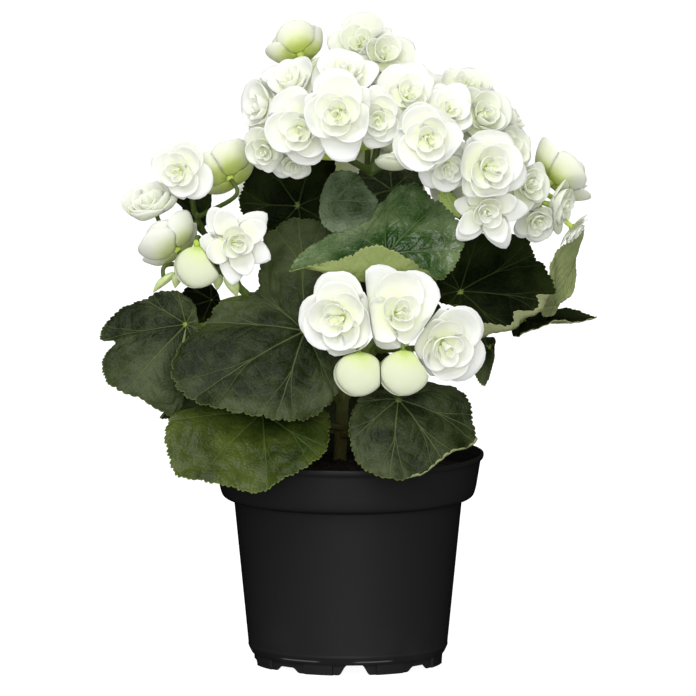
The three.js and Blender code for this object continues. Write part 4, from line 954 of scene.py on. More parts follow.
LEAVES = {
    "leaf_left_tip": Leaf(
        (186, 324, -27),
        [
            (197, 309, -25), (189, 296, -22), (168, 290, -20), (139, 300, -20), (121, 307, -19),
            (104, 326, -20), (99, 338, -24), (114, 342, -28), (103, 357, -28), (101, 371, -30),
            (109, 386, -34), (142, 401, -36), (172, 417, -36), (182, 404, -34), (176, 372, -32),
            (184, 352, -30), (196, 340, -28),
        ],
        [(268, 316, 6), (230, 322, -6)],
    ),
    "leaf_left_back": Leaf(
        (212, 300, 10),
        [
            (218, 292, 12), (204, 280, 16), (190, 284, 16), (178, 300, 12), (182, 320, 6),
            (196, 334, 1), (214, 330, 0), (222, 314, 5),
        ],
        [(250, 297, 5), (232, 300, 10)],
        0.05,
        veins=7,
        tone="deep",
    ),
    "leaf_big_left": Leaf(
        (305, 330, -40),
        [
            (334, 227, 2), (310, 219, 5), (284, 223, 4), (264, 234, 2), (258, 262, -8),
            (256, 291, -20), (243, 299, -25), (215, 303, -30), (204, 322, -34), (190, 336, -40),
            (172, 360, -46), (172, 382, -52), (188, 399, -56), (214, 409, -60), (246, 416, -62),
            (282, 421, -63), (308, 420, -60), (330, 405, -56), (341, 384, -50), (339, 350, -44),
            (322, 334, -41), (338, 306, -34), (346, 272, -18), (344, 244, -4),
        ],
        [(342, 402, 2), (328, 366, -14)],
        0.07,
    ),
    "leaf_pot_left": Leaf(
        (262, 413, -41),
        [
            (282, 402, -34), (246, 398, -36), (208, 402, -42), (172, 417, -50), (164, 434, -56),
            (167, 455, -62), (176, 476, -66), (204, 483, -68), (234, 489, -70), (258, 493, -71),
            (282, 481, -70), (308, 468, -66), (326, 452, -60), (331, 430, -50), (326, 411, -40),
        ],
        [(342, 428, 3), (312, 424, -14)],
        0.09,
        tone="bright",
    ),
    "leaf_pot_right": Leaf(
        (398, 399, -56),
        [
            (386, 388, -50), (366, 394, -53), (353, 407, -58), (348, 424, -63), (350, 444, -68),
            (356, 462, -72), (372, 475, -75), (400, 481, -77), (420, 475, -75), (448, 456, -68),
            (477, 440, -56), (474, 420, -52), (470, 402, -49), (460, 388, -46), (432, 383, -46),
            (410, 388, -50),
        ],
        [(343, 436, 3), (366, 428, -22)],
        0.07,
        rolls=[(7.2, 10.4, 2.0)],
    ),
    "leaf_right_dark": Leaf(
        (460, 291, -28),
        [
            (435, 302, -30), (433, 284, -27), (445, 271, -23), (456, 257, -17), (462, 240, -10),
            (480, 235, -6), (505, 233, -3), (528, 233, -2), (534, 256, -8), (548, 268, -13),
            (557, 290, -22), (550, 304, -28), (534, 318, -34), (510, 332, -38), (480, 342, -40),
            (468, 324, -37), (460, 308, -33),
        ],
        [(436, 278, 9), (448, 286, -8)],
        rolls=[(10.2, 14.4, 4.4)],
        tone="deep",
    ),
    "leaf_middle": Leaf(
        (386, 254, -40),
        [
            (412, 183, -14), (390, 193, -16), (375, 206, -18), (362, 223, -22), (334, 235, -30),
            (309, 245, -38), (288, 269, -49), (322, 262, -53.5), (346, 256, -54.5), (374, 244, -54.5),
            (402, 254, -54), (427, 271, -50.5), (440, 281, -45), (456, 267, -40), (463, 250, -36),
            (466, 234, -32), (454, 212, -26), (434, 196, -19),
        ],
        [(357, 262, 9), (368, 264, -14)],
        0.05,
        knees={
            7: (330, 273, -51),
            8: (352, 280, -52.5),
            9: (374, 282, -53),
            10: (398, 279, -51),
            11: (415, 272, -47),
        },
        tone="shiny",
    ),
    "leaf_upper": Leaf(
        (335, 201, -12),
        [
            (334, 172, -3), (356, 172, -6), (368, 187, -10), (379, 203, -14), (373, 221, -18),
            (355, 233, -21), (333, 233, -21), (321, 223, -19), (319, 205, -14), (323, 186, -8),
        ],
        [(361, 228, 10), (350, 214, -1)],
        veins=7,
        tone="sheeny",
    ),
    "leaf_shade": Leaf(
        (298, 206, 8),
        [
            (334, 158, 17), (292, 152, 18), (257, 160, 14), (245, 179, 11), (238, 204, 11),
            (252, 226, 9), (276, 240, 10), (306, 240, 9), (327, 227, 7), (331, 201, 10),
        ],
        [(352, 250, 9), (326, 228, 12)],
        veins=7,
        tone="deep",
    ),
    "leaf_under_bud": Leaf(
        (392, 190, 2),
        [
            (378, 163, 8), (357, 172, 6), (362, 196, 1), (384, 208, -4), (412, 203, -3),
            (424, 186, 2), (416, 170, 7), (398, 162, 10),
        ],
        [(363, 216, 10), (378, 202, 8)],
        0.05,
        veins=7,
    ),
    "leaf_right_pale": Leaf(
        (554, 306, -6),
        [
            (562, 300, -2), (571, 296, 0), (576, 276, 6), (577, 256, 12), (578, 242, 17),
            (585, 228, 22), (572, 240, 15), (559, 247, 8), (552, 262, -4), (548, 280, -8),
            (543, 298, -12), (542, 316, -12), (552, 316, -8),
        ],
        [(448, 268, 7), (500, 298, 7)],
        0.05,
        veins=7,
        tone="turned_sheeny",
    ),
    "leaf_right_low": Leaf(
        (522, 322, -12),
        [
            (512, 314, -8), (530, 310, -4), (556, 308, 2), (580, 311, 2), (598, 318, -4),
            (578, 321, -16), (556, 322, -26), (534, 329, -28), (518, 337, -27), (510, 328, -18),
        ],
        [(426, 292, 11), (480, 312, 2)],
        0.04,
        veins=7,
        tone="turned_deep",
    ),
    "leaf_right_hanging": Leaf(
        (487, 346, -14),
        [
            (480, 338, -10), (494, 338, -8), (495, 352, -14), (493, 366, -18), (489, 378, -22),
            (484, 387, -26), (477, 380, -24), (474, 368, -22), (475, 356, -18),
        ],
        [(376, 350, 12), (440, 348, 2)],
        0.05,
        veins=5,
    ),
    "leaf_far_left": Leaf(
        (198, 218, 14),
        [
            (206, 226, 12), (212, 204, 18), (206, 176, 24), (194, 156, 28), (176, 148, 28),
            (157, 152, 24), (160, 172, 18), (172, 194, 12), (184, 212, 8), (190, 228, 8),
        ],
        [(240, 288, 4), (222, 252, 14)],
        veins=7,
        tone="deep",
    ),
    "leaf_bract": Leaf(
        (452, 206, -22),
        [
            (461, 218, -24), (466, 208, -22), (458, 198, -18), (446, 190, -16), (438, 194, -18),
            (442, 206, -22), (450, 214, -24),
        ],
        [(474, 236, 2), (462, 218, -12)],
        0.04,
        tone="young",
        veins=5,
    ),
}


def margin_rule(hub, heading, droop, length):
    """The margin of a leaf behind the plant: a lopsided heart with a notch at its hub."""
    centre = at(hub)
    along = facing(heading, -droop)
    normal = facing(heading, 90 - droop)
    side = np.cross(normal, along)
    angle = -math.pi + (np.arange(16) + 0.5) * 2 * math.pi / 16
    sinus = 1 - 0.6 * np.exp(-(((math.pi - np.abs(angle)) / 0.25) ** 2))
    lobe = np.where(angle > 0, 1.08, 0.94)
    reach = length * (0.45 + 0.19 * np.cos(angle) + 0.07 * np.cos(2 * angle)) * sinus * lobe
    fall = 0.2 * (reach / length) ** 2 * length
    wave = 0.035 * length * np.sin(5 * angle)
    flat = np.outer(reach * np.cos(angle), along) + np.outer(reach * np.sin(angle), side)
    return centre + flat + np.outer(wave - fall, normal)


BACK_LEAVES = {
    "leaf_back_low": ((345, 366, 36), 176, 36, 76, [(343, 410, 3), (344, 380, 22)]),
    "leaf_back_left": ((266, 348, 30), 230, 30, 80, [(320, 372, 10), (292, 352, 20)]),
    "leaf_back_right": ((416, 308, 34), 150, 12, 66, [(384, 338, 13), (400, 328, 26)]),
    "leaf_back_high": ((346, 262, 34), 190, 24, 70, [(358, 236, 10), (352, 254, 24)]),
}


def leaf_form(leaf):
    """The hub, margin and rib controls in millimetres, running round so that the stalk is below,
    with the rolled stretches as shares of the way round."""
    hub = at(leaf.hub)
    margin = leaf.margin
    if not isinstance(margin, np.ndarray):
        margin = np.array([at(place) for place in margin])
    ways = margin - hub
    face = np.cross(ways, np.roll(ways, -1, 0)).sum(0)
    front = -1 if face.dot(at(leaf.stalk[-1]) - hub) > 0 else 1
    rise = unit(face) * front
    lengths = np.linalg.norm(ways, axis=1)
    bends = (hub + margin) / 2 + np.outer(1.3 * leaf.arch * lengths, rise)
    for number, place in leaf.knees.items():
        bends[number] = 2 * at(place) - (hub + margin[number]) / 2
    rolls = [(start / len(margin), end / len(margin), width) for start, end, width in leaf.rolls]
    if front < 0:
        margin, bends = margin[::-1], bends[::-1]
        last = (len(leaf.margin) - 1) / len(leaf.margin)
        rolls = [(last - end, last - start, width) for start, end, width in rolls]
    return hub, margin, bends, rolls


def rolled(points, fold, out, up, past, amount):
    """Points past a fold line, rolled up and back over the blade, and the way that they then face."""
    turn = np.clip(past / ROLL_RADIUS, 0, math.pi)
    back = np.maximum(past - math.pi * ROLL_RADIUS, 0)
    away = ROLL_RADIUS * np.sin(turn) - back
    lift = ROLL_RADIUS * (1 - np.cos(turn)) * (1 + 0.15 * back)
    over = fold + out * away[:, None] + up * lift[:, None]
    share = (amount * (past > 0))[:, None]
    turn = turn[:, None] * share
    return points + (over - points) * share, up * np.cos(turn) - out * np.sin(turn)


class BladeSurface:
    """The middle surface of a leaf's blade, at u round the margin and r from the hub to it."""

    def __init__(self, leaf, seed):
        self.hub, self.margin, self.bends, self.rolls = leaf_form(leaf)
        around = np.linspace(0, 1, 721)
        self.edge_line = curve(self.margin, around, True)
        ways = unit(self.edge_line - self.hub)
        turned = np.linalg.norm(np.cross(ways[:-1], ways[1:]), axis=1)
        nearest = int(np.linalg.norm(self.edge_line[:-1] - self.hub, axis=1).argmin())
        self.start = around[nearest]
        self.turned = np.append(0, np.cumsum(np.roll(turned, -nearest)))
        self.turned *= leaf.veins / self.turned[-1]
        self.round = np.linalg.norm(np.diff(self.edge_line, axis=0), axis=1).sum()
        rng = np.random.default_rng(seed)
        self.phases = rng.uniform(0, 2 * math.pi, 6)
        self.teeth = max(16, 16 * round(self.round / (16 * TOOTH_PITCH)))
        self.tooth_depths = TOOTH_DEPTH * rng.uniform(0.45, 1.25, self.teeth)
        self.waves = rng.integers(4, 7)
        self.size = self.round / USUAL_ROUND

    def veins_at(self, u):
        """How far round the fan of veins u lies. A vein is at each half."""
        share = (np.asarray(u) - self.start) % 1
        return np.interp(share, np.linspace(0, 1, len(self.turned)), self.turned)

    def flat(self, u, r):
        """The points of the surface before its teeth and its relief."""
        edge = curve(self.margin, u, True)
        bend = curve(self.bends, u, True)
        return bent(r[:, None], self.hub, bend, edge)

    def normals(self, u, r):
        step = 0.004
        inner = np.clip(r, 0.02, 1)
        along = self.flat(u, inner) - self.flat(u, inner - step)
        around = self.flat(u + step, inner) - self.flat(u - step, inner)
        return unit(np.cross(along, around))

    def points(self, u, r):
        """The points of the surface with its teeth, lobes, quilting, waves and rolled edges."""
        flat = self.flat(u, r)
        normal = self.normals(u, r)
        edge = curve(self.margin, u, True)
        out = unit(edge - self.flat(u, 0.9 * np.ones_like(r)))
        length = np.linalg.norm(edge - self.hub, axis=1)
        tooth = (u * self.teeth) % 1
        depth = self.tooth_depths[np.floor(u * self.teeth).astype(int) % self.teeth]
        shape = np.interp(tooth, [0, 0.25, 0.5, 0.75, 1], [1, 0.35, 0, 0.2, 1])
        lobes = max(3, round(self.round / LOBE_PITCH))
        lobe = 1 - np.abs(np.sin(math.pi * lobes * u + self.phases[0])) ** 0.7
        cut = depth * shape * smoothstep(0.965, 1, r)
        cut = cut + LOBE_DEPTH * self.size * lobe * smoothstep(0.8, 1, r)
        points = flat - out * cut[:, None]
        fan = self.veins_at(u)
        off = np.abs(fan % 1 - 0.5)
        fork = np.abs(off - FORK_SPREAD * smoothstep(FORK_START, 1, r))
        main, forked = (np.exp(-((away * r / VEIN_GROOVE) ** 2)) for away in (off, fork))
        groove = (main + forked) * (r < 0.97)
        pillow = np.sin(math.pi * 9 * r + 3 * off)
        pillow = pillow * smoothstep(0.1, 0.3, r) * smoothstep(0, 0.1, off)
        wave = np.sin(2 * math.pi * self.waves * u + self.phases[1]) * smoothstep(0.55, 1, r)
        ripple = np.sin(2 * math.pi * 3.2 * self.waves * u + self.phases[2]) * smoothstep(0.8, 1, r)
        lift = self.size * (1.6 * wave + 0.7 * ripple + 0.42 * pillow - 0.6 * groove)
        points = points + normal * lift[:, None]
        for start, end, width in self.rolls:
            ease = 0.18 * (end - start)
            amount = smoothstep(start, start + ease, u) * (1 - smoothstep(end - ease, end, u))
            width = width + 0.07 * width**2 * np.sin(2 * math.pi * 13 * u + self.phases[3])
            share = 1 - width / length
            fold = self.flat(u, share) + normal * lift[:, None]
            tangent = unit(edge - self.flat(u, share))
            push = tangent * (0.8 * width * amount * r**3)[:, None]
            past = np.maximum(np.maximum(r - share, 0) * length * 1.6 - cut, 0)
            over, facing_over = rolled(points + push, fold + push, tangent, normal, past, amount)
            points = np.where((amount > 0)[:, None], over, points)
            normal = np.where((amount > 0)[:, None], facing_over, normal)
        return points, normal


def blade_rows(surface):
    """The rows of the blade's mesh, from the margin in: shares of the rib and column counts."""
    columns = 4 * surface.teeth
    rib = 0.5 * surface.round / math.pi
    edge = [1, 1 - 0.55 / rib, 1 - 1.5 / rib]
    rows = [(share, columns) for share in edge]
    rows += [(share, columns // 2) for share in np.linspace(edge[-1] - 0.035, 0.8, 4)]
    rows += [(share, columns // 4) for share in np.linspace(0.75, 0.46, 6)]
    rows += [(share, columns // 8) for share in np.linspace(0.4, 0.05, 7)]
    return rows


def blade_fan(rows):
    """Triangles of one side of the blade, facing the way of its normals, and the hub's number."""
    faces, first, start = [], None, 0
    for _, count in rows:
        ring = start + np.arange(count)
        after = np.roll(ring, -1)
        if first is not None and len(first[0]) == count:
            outer, outer_after = first
            faces += np.stack([ring, outer, outer_after], 1).tolist()
            faces += np.stack([ring, outer_after, after], 1).tolist()
        elif first is not None:
            outer, outer_after = first
            even, middle, last = outer[::2], outer[1::2], outer_after[1::2]
            faces += np.stack([ring, even, middle], 1).tolist()
            faces += np.stack([ring, middle, after], 1).tolist()
            faces += np.stack([after, middle, last], 1).tolist()
        first = (ring, after)
        start += count
    faces += [[start, a, b] for a, b in zip(*first)]
    return faces, start


def blade_mesh(leaf, seed):
    """The blade as points, faces, the faces' side, the texture corners and the points' marks, with
    the way that it faces at its hub, and its surface."""
    surface = BladeSurface(leaf, seed)
    rows = blade_rows(surface)
    shares = np.concatenate([np.full(count, share) for share, count in rows] + [[0.0]])
    around = np.concatenate([np.arange(count) / count for _, count in rows] + [[0.0]])
    points, normals = surface.points(around, shares)
    faces, hub = blade_fan(rows)
    lowest = rows[-1][1]
    ring = points[hub - lowest : hub]
    normals[hub] = unit(np.cross(ring - points[hub], np.roll(ring, -1, 0) - points[hub]).sum(0))
    thick = 0.5 * BLADE_THICKNESS * (0.35 + 0.65 * smoothstep(1.0, 0.93, shares))
    upper = points + normals * thick[:, None]
    lower = points - normals * thick[:, None]
    count = len(points)
    faces = np.array(faces)
    rim = np.arange(rows[0][1])
    rim_after = np.roll(rim, -1)
    walls = np.concatenate(
        [
            np.stack([rim, rim + count, rim_after + count], 1),
            np.stack([rim, rim_after + count, rim_after], 1),
        ]
    )
    every = np.concatenate([faces, faces[:, ::-1] + count, walls])
    side = np.concatenate([np.zeros(len(faces)), np.ones(len(faces)), np.zeros(len(walls))])
    fan = np.tile(surface.veins_at(around), 2)
    corners = np.stack([fan[every], np.tile(shares, 2)[every]], -1)
    total = leaf.veins
    for k in range(3):
        behind = corners[:, :, 0].max(1) - corners[:, k, 0] > total / 2
        corners[behind, k, 0] += total
    at_hub = every % count == hub
    mean = np.where(at_hub, 0, corners[:, :, 0]).sum(1) / np.maximum((~at_hub).sum(1), 1)
    corners[:, :, 0] = np.where(at_hub, mean[:, None], corners[:, :, 0])
    beside = surface.flat(around + 0.002, shares) - surface.flat(around - 0.002, shares)
    change = np.abs(surface.veins_at(around + 0.002) - surface.veins_at(around - 0.002))
    change = np.minimum(change, total - change)
    gauge = np.linalg.norm(beside, axis=1) / np.maximum(change, 1e-4)
    edge = np.zeros(count)
    edge[: rows[0][1]] = 1
    marks = {"gauge": np.tile(gauge, 2), "rim": np.tile(edge, 2)}
    return np.concatenate([upper, lower]), every, side, corners, marks, normals[hub], surface


def leaf_stalk(leaf, hub, normal):
    """The leaf's own stalk, square to the blade at its hub and thicker there."""
    start = hub - normal * 0.2
    neck = start - normal * STALK_NECK
    places = [start, neck, *(at(place) for place in reversed(leaf.stalk))]

    def radius_at(share):
        return LEAF_STALK_RADIUS * (0.85 + 0.15 * share + 0.5 * math.exp(-share / 0.03))

    return tube(places, radius_at, 12)


def blade_paint(top, vein, edge, gloss, painted_sheen):
    """The paint of one side of a blade. Its texture runs u round the fan of veins, v along them."""

    def paint(shade):
        place = shade.place()
        spot = shade.node("UVMap", {"uv_map": "blade"})
        fan, along = spot.part(0), spot.part(1)
        gauge, rim = shade.mark("gauge"), shade.mark("rim")
        wander = shade.noise(place, 7, 3) - 0.5
        broad = shade.noise(place, 30, 2)
        off = abs(fan.maths("FRACT", fan + 0.05 * wander + 0.12 * (broad - 0.5)) - 0.5)
        width = 0.62 - 0.4 * along
        main = (off * gauge / width).step(1.0, 0.35)
        fork = abs(off - FORK_SPREAD * along.step(FORK_START, 1.0)) * gauge / (width * 0.8)
        forked = fork.step(1.0, 0.3) * along.step(0.34, 0.42)
        stagger = 0.37 * fan.maths("FLOOR", fan * 2)
        rungs = along.maths("FRACT", (along - 0.34 * off + 0.12 * wander) * 7 + stagger + broad)
        between = abs(rungs - 0.5)
        side_veins = between.step(0.05, 0.015) * along.step(0.12, 0.3) * 0.2
        net = shade.cells(place, NET_WIDTH).step(0.05, 0.0) * 0.12
        veins = main.at_least(forked * 0.8).at_least(side_veins).at_least(net)
        cloudy = shade.noise(place, 9, 4)
        fine = shade.noise(place, 0.8, 3)
        # Painted light: lighter patches as a painted sheen, and lighter towards the margin, with the
        # hub painted darker as shade.
        lit = broad * 2.4 + 1.4 * cloudy + 0.8 * fine + 0.6 * along - 2.3
        patches = lit.at_most(1.0).at_least(0.0)
        ground = patches.mix(top, painted_sheen)
        coloured = (veins * 0.65).mix(ground, vein)
        quilt = between.step(0.0, 0.4) * off.step(0.0, 0.2)
        return {
            "Base Color": (rim ** 1.5).mix(coloured, edge),
            "Roughness": gloss + 0.12 * fine + 0.12 * veins - 0.08 * patches,
            "height": (
                0.3 * fine + 1.2 * quilt + 0.5 * shade.cells(place, NET_WIDTH).step(0.0, 0.3)
                - 1.4 * main - forked
            ),
            "bump": (0.6, 0.26),
        }

    return paint


def blade_finish(name, *paint, sheen=0.1):
    return finish(
        name,
        blade_paint(*paint),
        Specular_IOR_Level=sheen,
        Subsurface_Weight=0.05,
        Subsurface_Radius=(0.4, 0.8, 0.2),
        Subsurface_Scale=0.002,
    )


def two_sided(name, top, underside, sheen=0.1):
    """The finishes of a blade's two sides, each given as its ground, vein and edge colours, its gloss
    and the colour of its painted sheen: lighter patches that stand in for reflections."""
    return (
        blade_finish(name + "_top", *top, sheen=sheen),
        blade_finish(name + "_underside", *underside),
    )


FRESH_UNDERSIDE = (
    (0.19, 0.25, 0.07, 1), (0.28, 0.34, 0.12, 1), (0.34, 0.38, 0.15, 1), 0.45, (0.24, 0.29, 0.1, 1),
)
TONES = {
    "mature": two_sided(
        "leaf",
        ((0.008, 0.015, 0.002, 1), (0.11, 0.145, 0.05, 1), (0.17, 0.2, 0.06, 1), 0.4,
         (0.062, 0.08, 0.03, 1)),
        ((0.19, 0.23, 0.09, 1), (0.26, 0.3, 0.13, 1), (0.3, 0.33, 0.15, 1), 0.45,
         (0.23, 0.26, 0.12, 1)),
        sheen=0.15,
    ),
    # The deep tone is the leaf finish painted darker and with less gloss on top: painted shade for
    # leaves deep in the plant.
    "deep": two_sided(
        "shaded_leaf",
        ((0.002, 0.004, 0.0005, 1), (0.035, 0.048, 0.014, 1), (0.09, 0.12, 0.03, 1), 0.5,
         (0.014, 0.022, 0.004, 1)),
        ((0.19, 0.21, 0.1, 1), (0.26, 0.29, 0.14, 1), (0.3, 0.33, 0.16, 1), 0.45,
         (0.24, 0.26, 0.13, 1)),
        sheen=0.03,
    ),
    "bright": two_sided(
        "bright_leaf",
        ((0.008, 0.02, 0.001, 1), (0.09, 0.14, 0.03, 1), (0.2, 0.26, 0.06, 1), 0.32,
         (0.066, 0.088, 0.013, 1)),
        FRESH_UNDERSIDE,
        sheen=0.18,
    ),
    "shiny": two_sided(
        "shiny_leaf",
        ((0.008, 0.042, 0.0005, 1), (0.09, 0.14, 0.04, 1), (0.2, 0.26, 0.06, 1), 0.2,
         (0.16, 0.22, 0.1, 1)),
        FRESH_UNDERSIDE,
        sheen=0.4,
    ),
    # This tone is the leaf finish painted greyer and lighter on top, as a painted sheen.
    "sheeny": two_sided(
        "sheeny_leaf",
        ((0.02, 0.04, 0.01, 1), (0.1, 0.14, 0.07, 1), (0.13, 0.17, 0.07, 1), 0.42,
         (0.17, 0.22, 0.13, 1)),
        ((0.19, 0.23, 0.09, 1), (0.3, 0.35, 0.14, 1), (0.34, 0.38, 0.15, 1), 0.45,
         (0.3, 0.34, 0.15, 1)),
        sheen=0.2,
    ),
    "young": two_sided(
        "young_leaf",
        ((0.42, 0.55, 0.16, 1), (0.55, 0.65, 0.25, 1), (0.6, 0.68, 0.3, 1), 0.45,
         (0.5, 0.6, 0.24, 1)),
        ((0.5, 0.6, 0.26, 1), (0.6, 0.68, 0.3, 1), (0.62, 0.7, 0.32, 1), 0.5,
         (0.55, 0.64, 0.3, 1)),
    ),
}
# A leaf that is turned over shows its underside to its front.
for tone in ("sheeny", "deep"):
    TONES["turned_" + tone] = TONES[tone][::-1]
# The leaves behind have their undersides painted dark, as the shade inside the plant.
TONES["rear"] = (
    TONES["mature"][0],
    blade_finish(
        "rear_shaded_underside", (0.03, 0.042, 0.012, 1), (0.08, 0.1, 0.035, 1),
        (0.14, 0.17, 0.05, 1), 0.5, (0.05, 0.065, 0.02, 1),
    ),
)


def make_leaf(name, leaf, seed):
    points, faces, side, corners, marks, normal, surface = blade_mesh(leaf, seed)
    stalk_points, stalk_faces = leaf_stalk(leaf, surface.hub, normal)
    count = len(points)
    blade_faces = faces.tolist()
    stalk_faces = [[k + count for k in face] for face in stalk_faces]
    choices = np.concatenate([side, np.full(len(stalk_faces), 2)])
    loops = sum(len(face) for face in stalk_faces)
    every_corner = np.concatenate([corners.reshape(-1, 2), np.zeros((loops, 2))])
    extra = np.zeros(len(stalk_points))
    marks = {mark: np.concatenate([values, extra]) for mark, values in marks.items()}
    made = make_piece(
        name + "_blade",
        np.concatenate([points, stalk_points]),
        blade_faces + stalk_faces,
        [*TONES[leaf.tone], stem_finish],
        "young_leaf" if leaf.tone == "young" else "leaf",
        choices,
        marks,
        every_corner,
    )
    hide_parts(name)


for name, (hub, heading, droop, length, stalk) in BACK_LEAVES.items():
    LEAVES[name] = Leaf(hub, margin_rule(hub, heading, droop, length), stalk, tone="rear")
for number, (name, leaf) in enumerate(LEAVES.items()):
    make_leaf(name, leaf, LEAF_SEED + number)

# Open flowers
# Double flowers like small roses: broad rounded white petals spread round a bowl of smaller ones, with
# a closed, faintly green heart. The oldest petals lie outside. Each sits on its own flower stalk.
PETAL_THICKNESS = 0.4
# A whorl of petals, from the outside in: their number, half the angle of a petal's own arc, and the
# foot, bend and tip of its midline as shares of the flower's radius, out from the axis and up.
SPREAD_WHORLS = [
    (4, 86, (0.08, 0.00), (0.76, -0.08), (1.12, 0.20)),
    (3, 92, (0.08, 0.06), (0.80, 0.02), (0.90, 0.44)),
]
CUPPED_WHORLS = [
    (4, 88, (0.08, 0.00), (0.90, -0.04), (0.92, 0.64)),
    (3, 94, (0.08, 0.05), (0.82, 0.06), (0.72, 0.74)),
]
# The same for the bowl and the heart, but out from the axis as shares of the rose's radius.
ROSE_WHORLS = [
    (3, 96, (0.12, 0.10), (0.78, 0.04), (0.84, 0.54)),
    (3, 100, (0.10, 0.14), (0.50, 0.16), (0.50, 0.60)),
    (2, 112, (0.06, 0.20), (0.20, 0.34), (0.17, 0.60)),
]
# The share of a petal's reach at which its own arc is centred: it is rounder than the flower.
ARC_CENTRE = 0.28
# The share of a flower's radius that its rose takes, and how much of that in a half-open flower.
ROSE_SHARE = 0.72
CUPPED_ROSE = 0.8
# The petals in the two outer whorls of a flower with pointed petals, and half the angle of their arcs.
POINTED_PETALS = (5, 60), (4, 58)
# The points along and across a petal, and the radius and half the height of a flower's green foot.
FRONT_GRID = 11, 15
BACK_GRID = 8, 10
FLOWER_FOOT = 1.9, 1.6
FLOWER_SEED = 40


def axes_of(bloom):
    """The flower's own axes: out of its face, and two across it."""
    out = facing(bloom.turn, bloom.rise)
    side = unit(np.cross([0, 0, 1], out))
    up = np.cross(out, side)
    roll = math.radians(bloom.roll)
    first = side * math.cos(roll) + up * math.sin(roll)
    return out, first, np.cross(out, first)


def in_place(points, bloom, foot_share=MIDDLE_SHARE, free_share=FREE_SHARE):
    """Points of a flower's own frame, put in their place and drawn into its room."""
    out, first, second = axes_of(bloom)
    seat = at(bloom.place) - foot_share * bloom.radius * out
    spots = seat + np.asarray(points) @ np.stack([first, second, out])
    return drawn_in(spots, room_of(bloom), free_share)


def sheet_faces(rows, columns):
    """Faces of a closed thin sheet: its inner grid, then its outer grid, then the walls."""
    grid = np.arange(rows * columns).reshape(rows, columns)
    under = grid + rows * columns
    inner = np.stack([grid[:-1, :-1], grid[:-1, 1:], grid[1:, 1:], grid[1:, :-1]], -1)
    outer = np.stack([under[:-1, :-1], under[1:, :-1], under[1:, 1:], under[:-1, 1:]], -1)
    rim = np.concatenate([grid[0, :-1], grid[:-1, -1], grid[-1, :0:-1], grid[:0:-1, 0]])
    below = rim + rows * columns
    walls = np.stack([rim, below, np.roll(below, -1), np.roll(rim, -1)], -1)
    return np.concatenate([inner.reshape(-1, 4), outer.reshape(-1, 4), walls]).tolist()


def sheet_points(grid, thickness):
    """The inner and outer faces of a petal, thin at the edge."""
    normal = unit(np.cross(np.gradient(grid, axis=1), np.gradient(grid, axis=0)))
    rows, columns, _ = grid.shape
    middle = np.minimum(np.arange(rows) + 2, rows - np.arange(rows))[:, None]
    beside = np.minimum(np.arange(columns) + 1, columns - np.arange(columns))[None, :]
    taper = np.clip(np.minimum(middle, beside) / 2, 0.4, 1)[..., None]
    half = 0.5 * thickness * taper * normal
    return np.concatenate([(grid - half).reshape(-1, 3), (grid + half).reshape(-1, 3)])


def petal_grid(whorl, azimuth, rng, radius, shape, size, pointed=False):
    """The middle surface of one petal in the flower's own axes, with its share from foot to tip."""
    _, half, foot, bend, tip = whorl
    rows, columns = shape
    share = np.linspace(0, 1, rows)[:, None]
    aside = np.linspace(-1, 1, columns)[None, :]
    if pointed:
        outline = 0.62 * np.abs(aside) ** 1.3
    else:
        outline = 0.6 * (1 - np.sqrt(1 - (0.985 * aside) ** 2))
        outline = outline + 0.05 * rng.random() * np.exp(-((aside / 0.15) ** 2))
    t = share * rng.uniform(0.93, 1.04) * (1 - outline * share**1.4)
    foot, bend, tip = (np.array(p) * radius for p in (foot, bend, tip))
    out, up = (bent(t, foot[k], bend[k], tip[k]) for k in range(2))
    loose = rng.uniform(-1, 1)
    arc = math.radians(half) * aside * (0.5 + 0.5 * np.sin(0.5 * math.pi * np.minimum(1, 1.6 * share)))
    x = out * (ARC_CENTRE + (1 - ARC_CENTRE) * np.cos(arc))
    y = out * (1 - ARC_CENTRE) * np.sin(arc)
    overlap = 1 + 0.07 * aside * np.minimum(1, 2 * share)
    opened = 1 + (0.10 * loose * t**2 + 0.07 * smoothstep(0.75, 1.05, t)) * size / radius
    x, y = x * overlap * opened, y * overlap * opened
    ruffle = 0.02 * size * np.sin(2.6 * math.pi * aside + rng.uniform(0, 6)) * t**3
    curled = 0.02 * size * smoothstep(0.75, 1.05, t)
    up = up + ruffle - 0.09 * size * loose * t**2 - curled + 0.05 * size * (aside**2 - 0.3) * t**1.5
    cos, sin = math.cos(azimuth), math.sin(azimuth)
    points = np.stack([x * cos - y * sin, x * sin + y * cos, up + 0 * x], -1)
    return points, share + 0 * aside


def turned(profile, sides):
    """A closed turned form. The profile's radii and heights run up from one pole to the other."""
    angles = np.arange(sides) * 2 * math.pi / sides
    radii, heights = np.array(profile, float)[1:-1].T
    x, y = np.outer(radii, np.cos(angles)), np.outer(radii, np.sin(angles))
    points = np.stack([x, y, heights[:, None] + 0 * x], -1).reshape(-1, 3)
    poles = [[0, 0, profile[0][1]], [0, 0, profile[-1][1]]]
    return np.concatenate([points, poles]), round_faces(len(radii), sides)


def knob(radius, height):
    """The green foot of a flower: a small rounded knob."""
    polar = np.linspace(0, math.pi, 8)
    return turned(np.stack([radius * np.sin(polar), -height * np.cos(polar)], 1), 14)


def whorls_of(bloom):
    """The flower's whorls: the two outer ones, then those of its rose."""
    outer = CUPPED_WHORLS if bloom.cupped else SPREAD_WHORLS
    share = bloom.rose or ROSE_SHARE * (CUPPED_ROSE if bloom.cupped else 1)
    if bloom.pointed:
        outer = [(*petals, *whorl[2:]) for petals, whorl in zip(POINTED_PETALS, outer)]
    rose = [
        (count, half, *((share * out, up) for out, up in midline))
        for count, half, *midline in ROSE_WHORLS
    ]
    return [*outer, *rose]


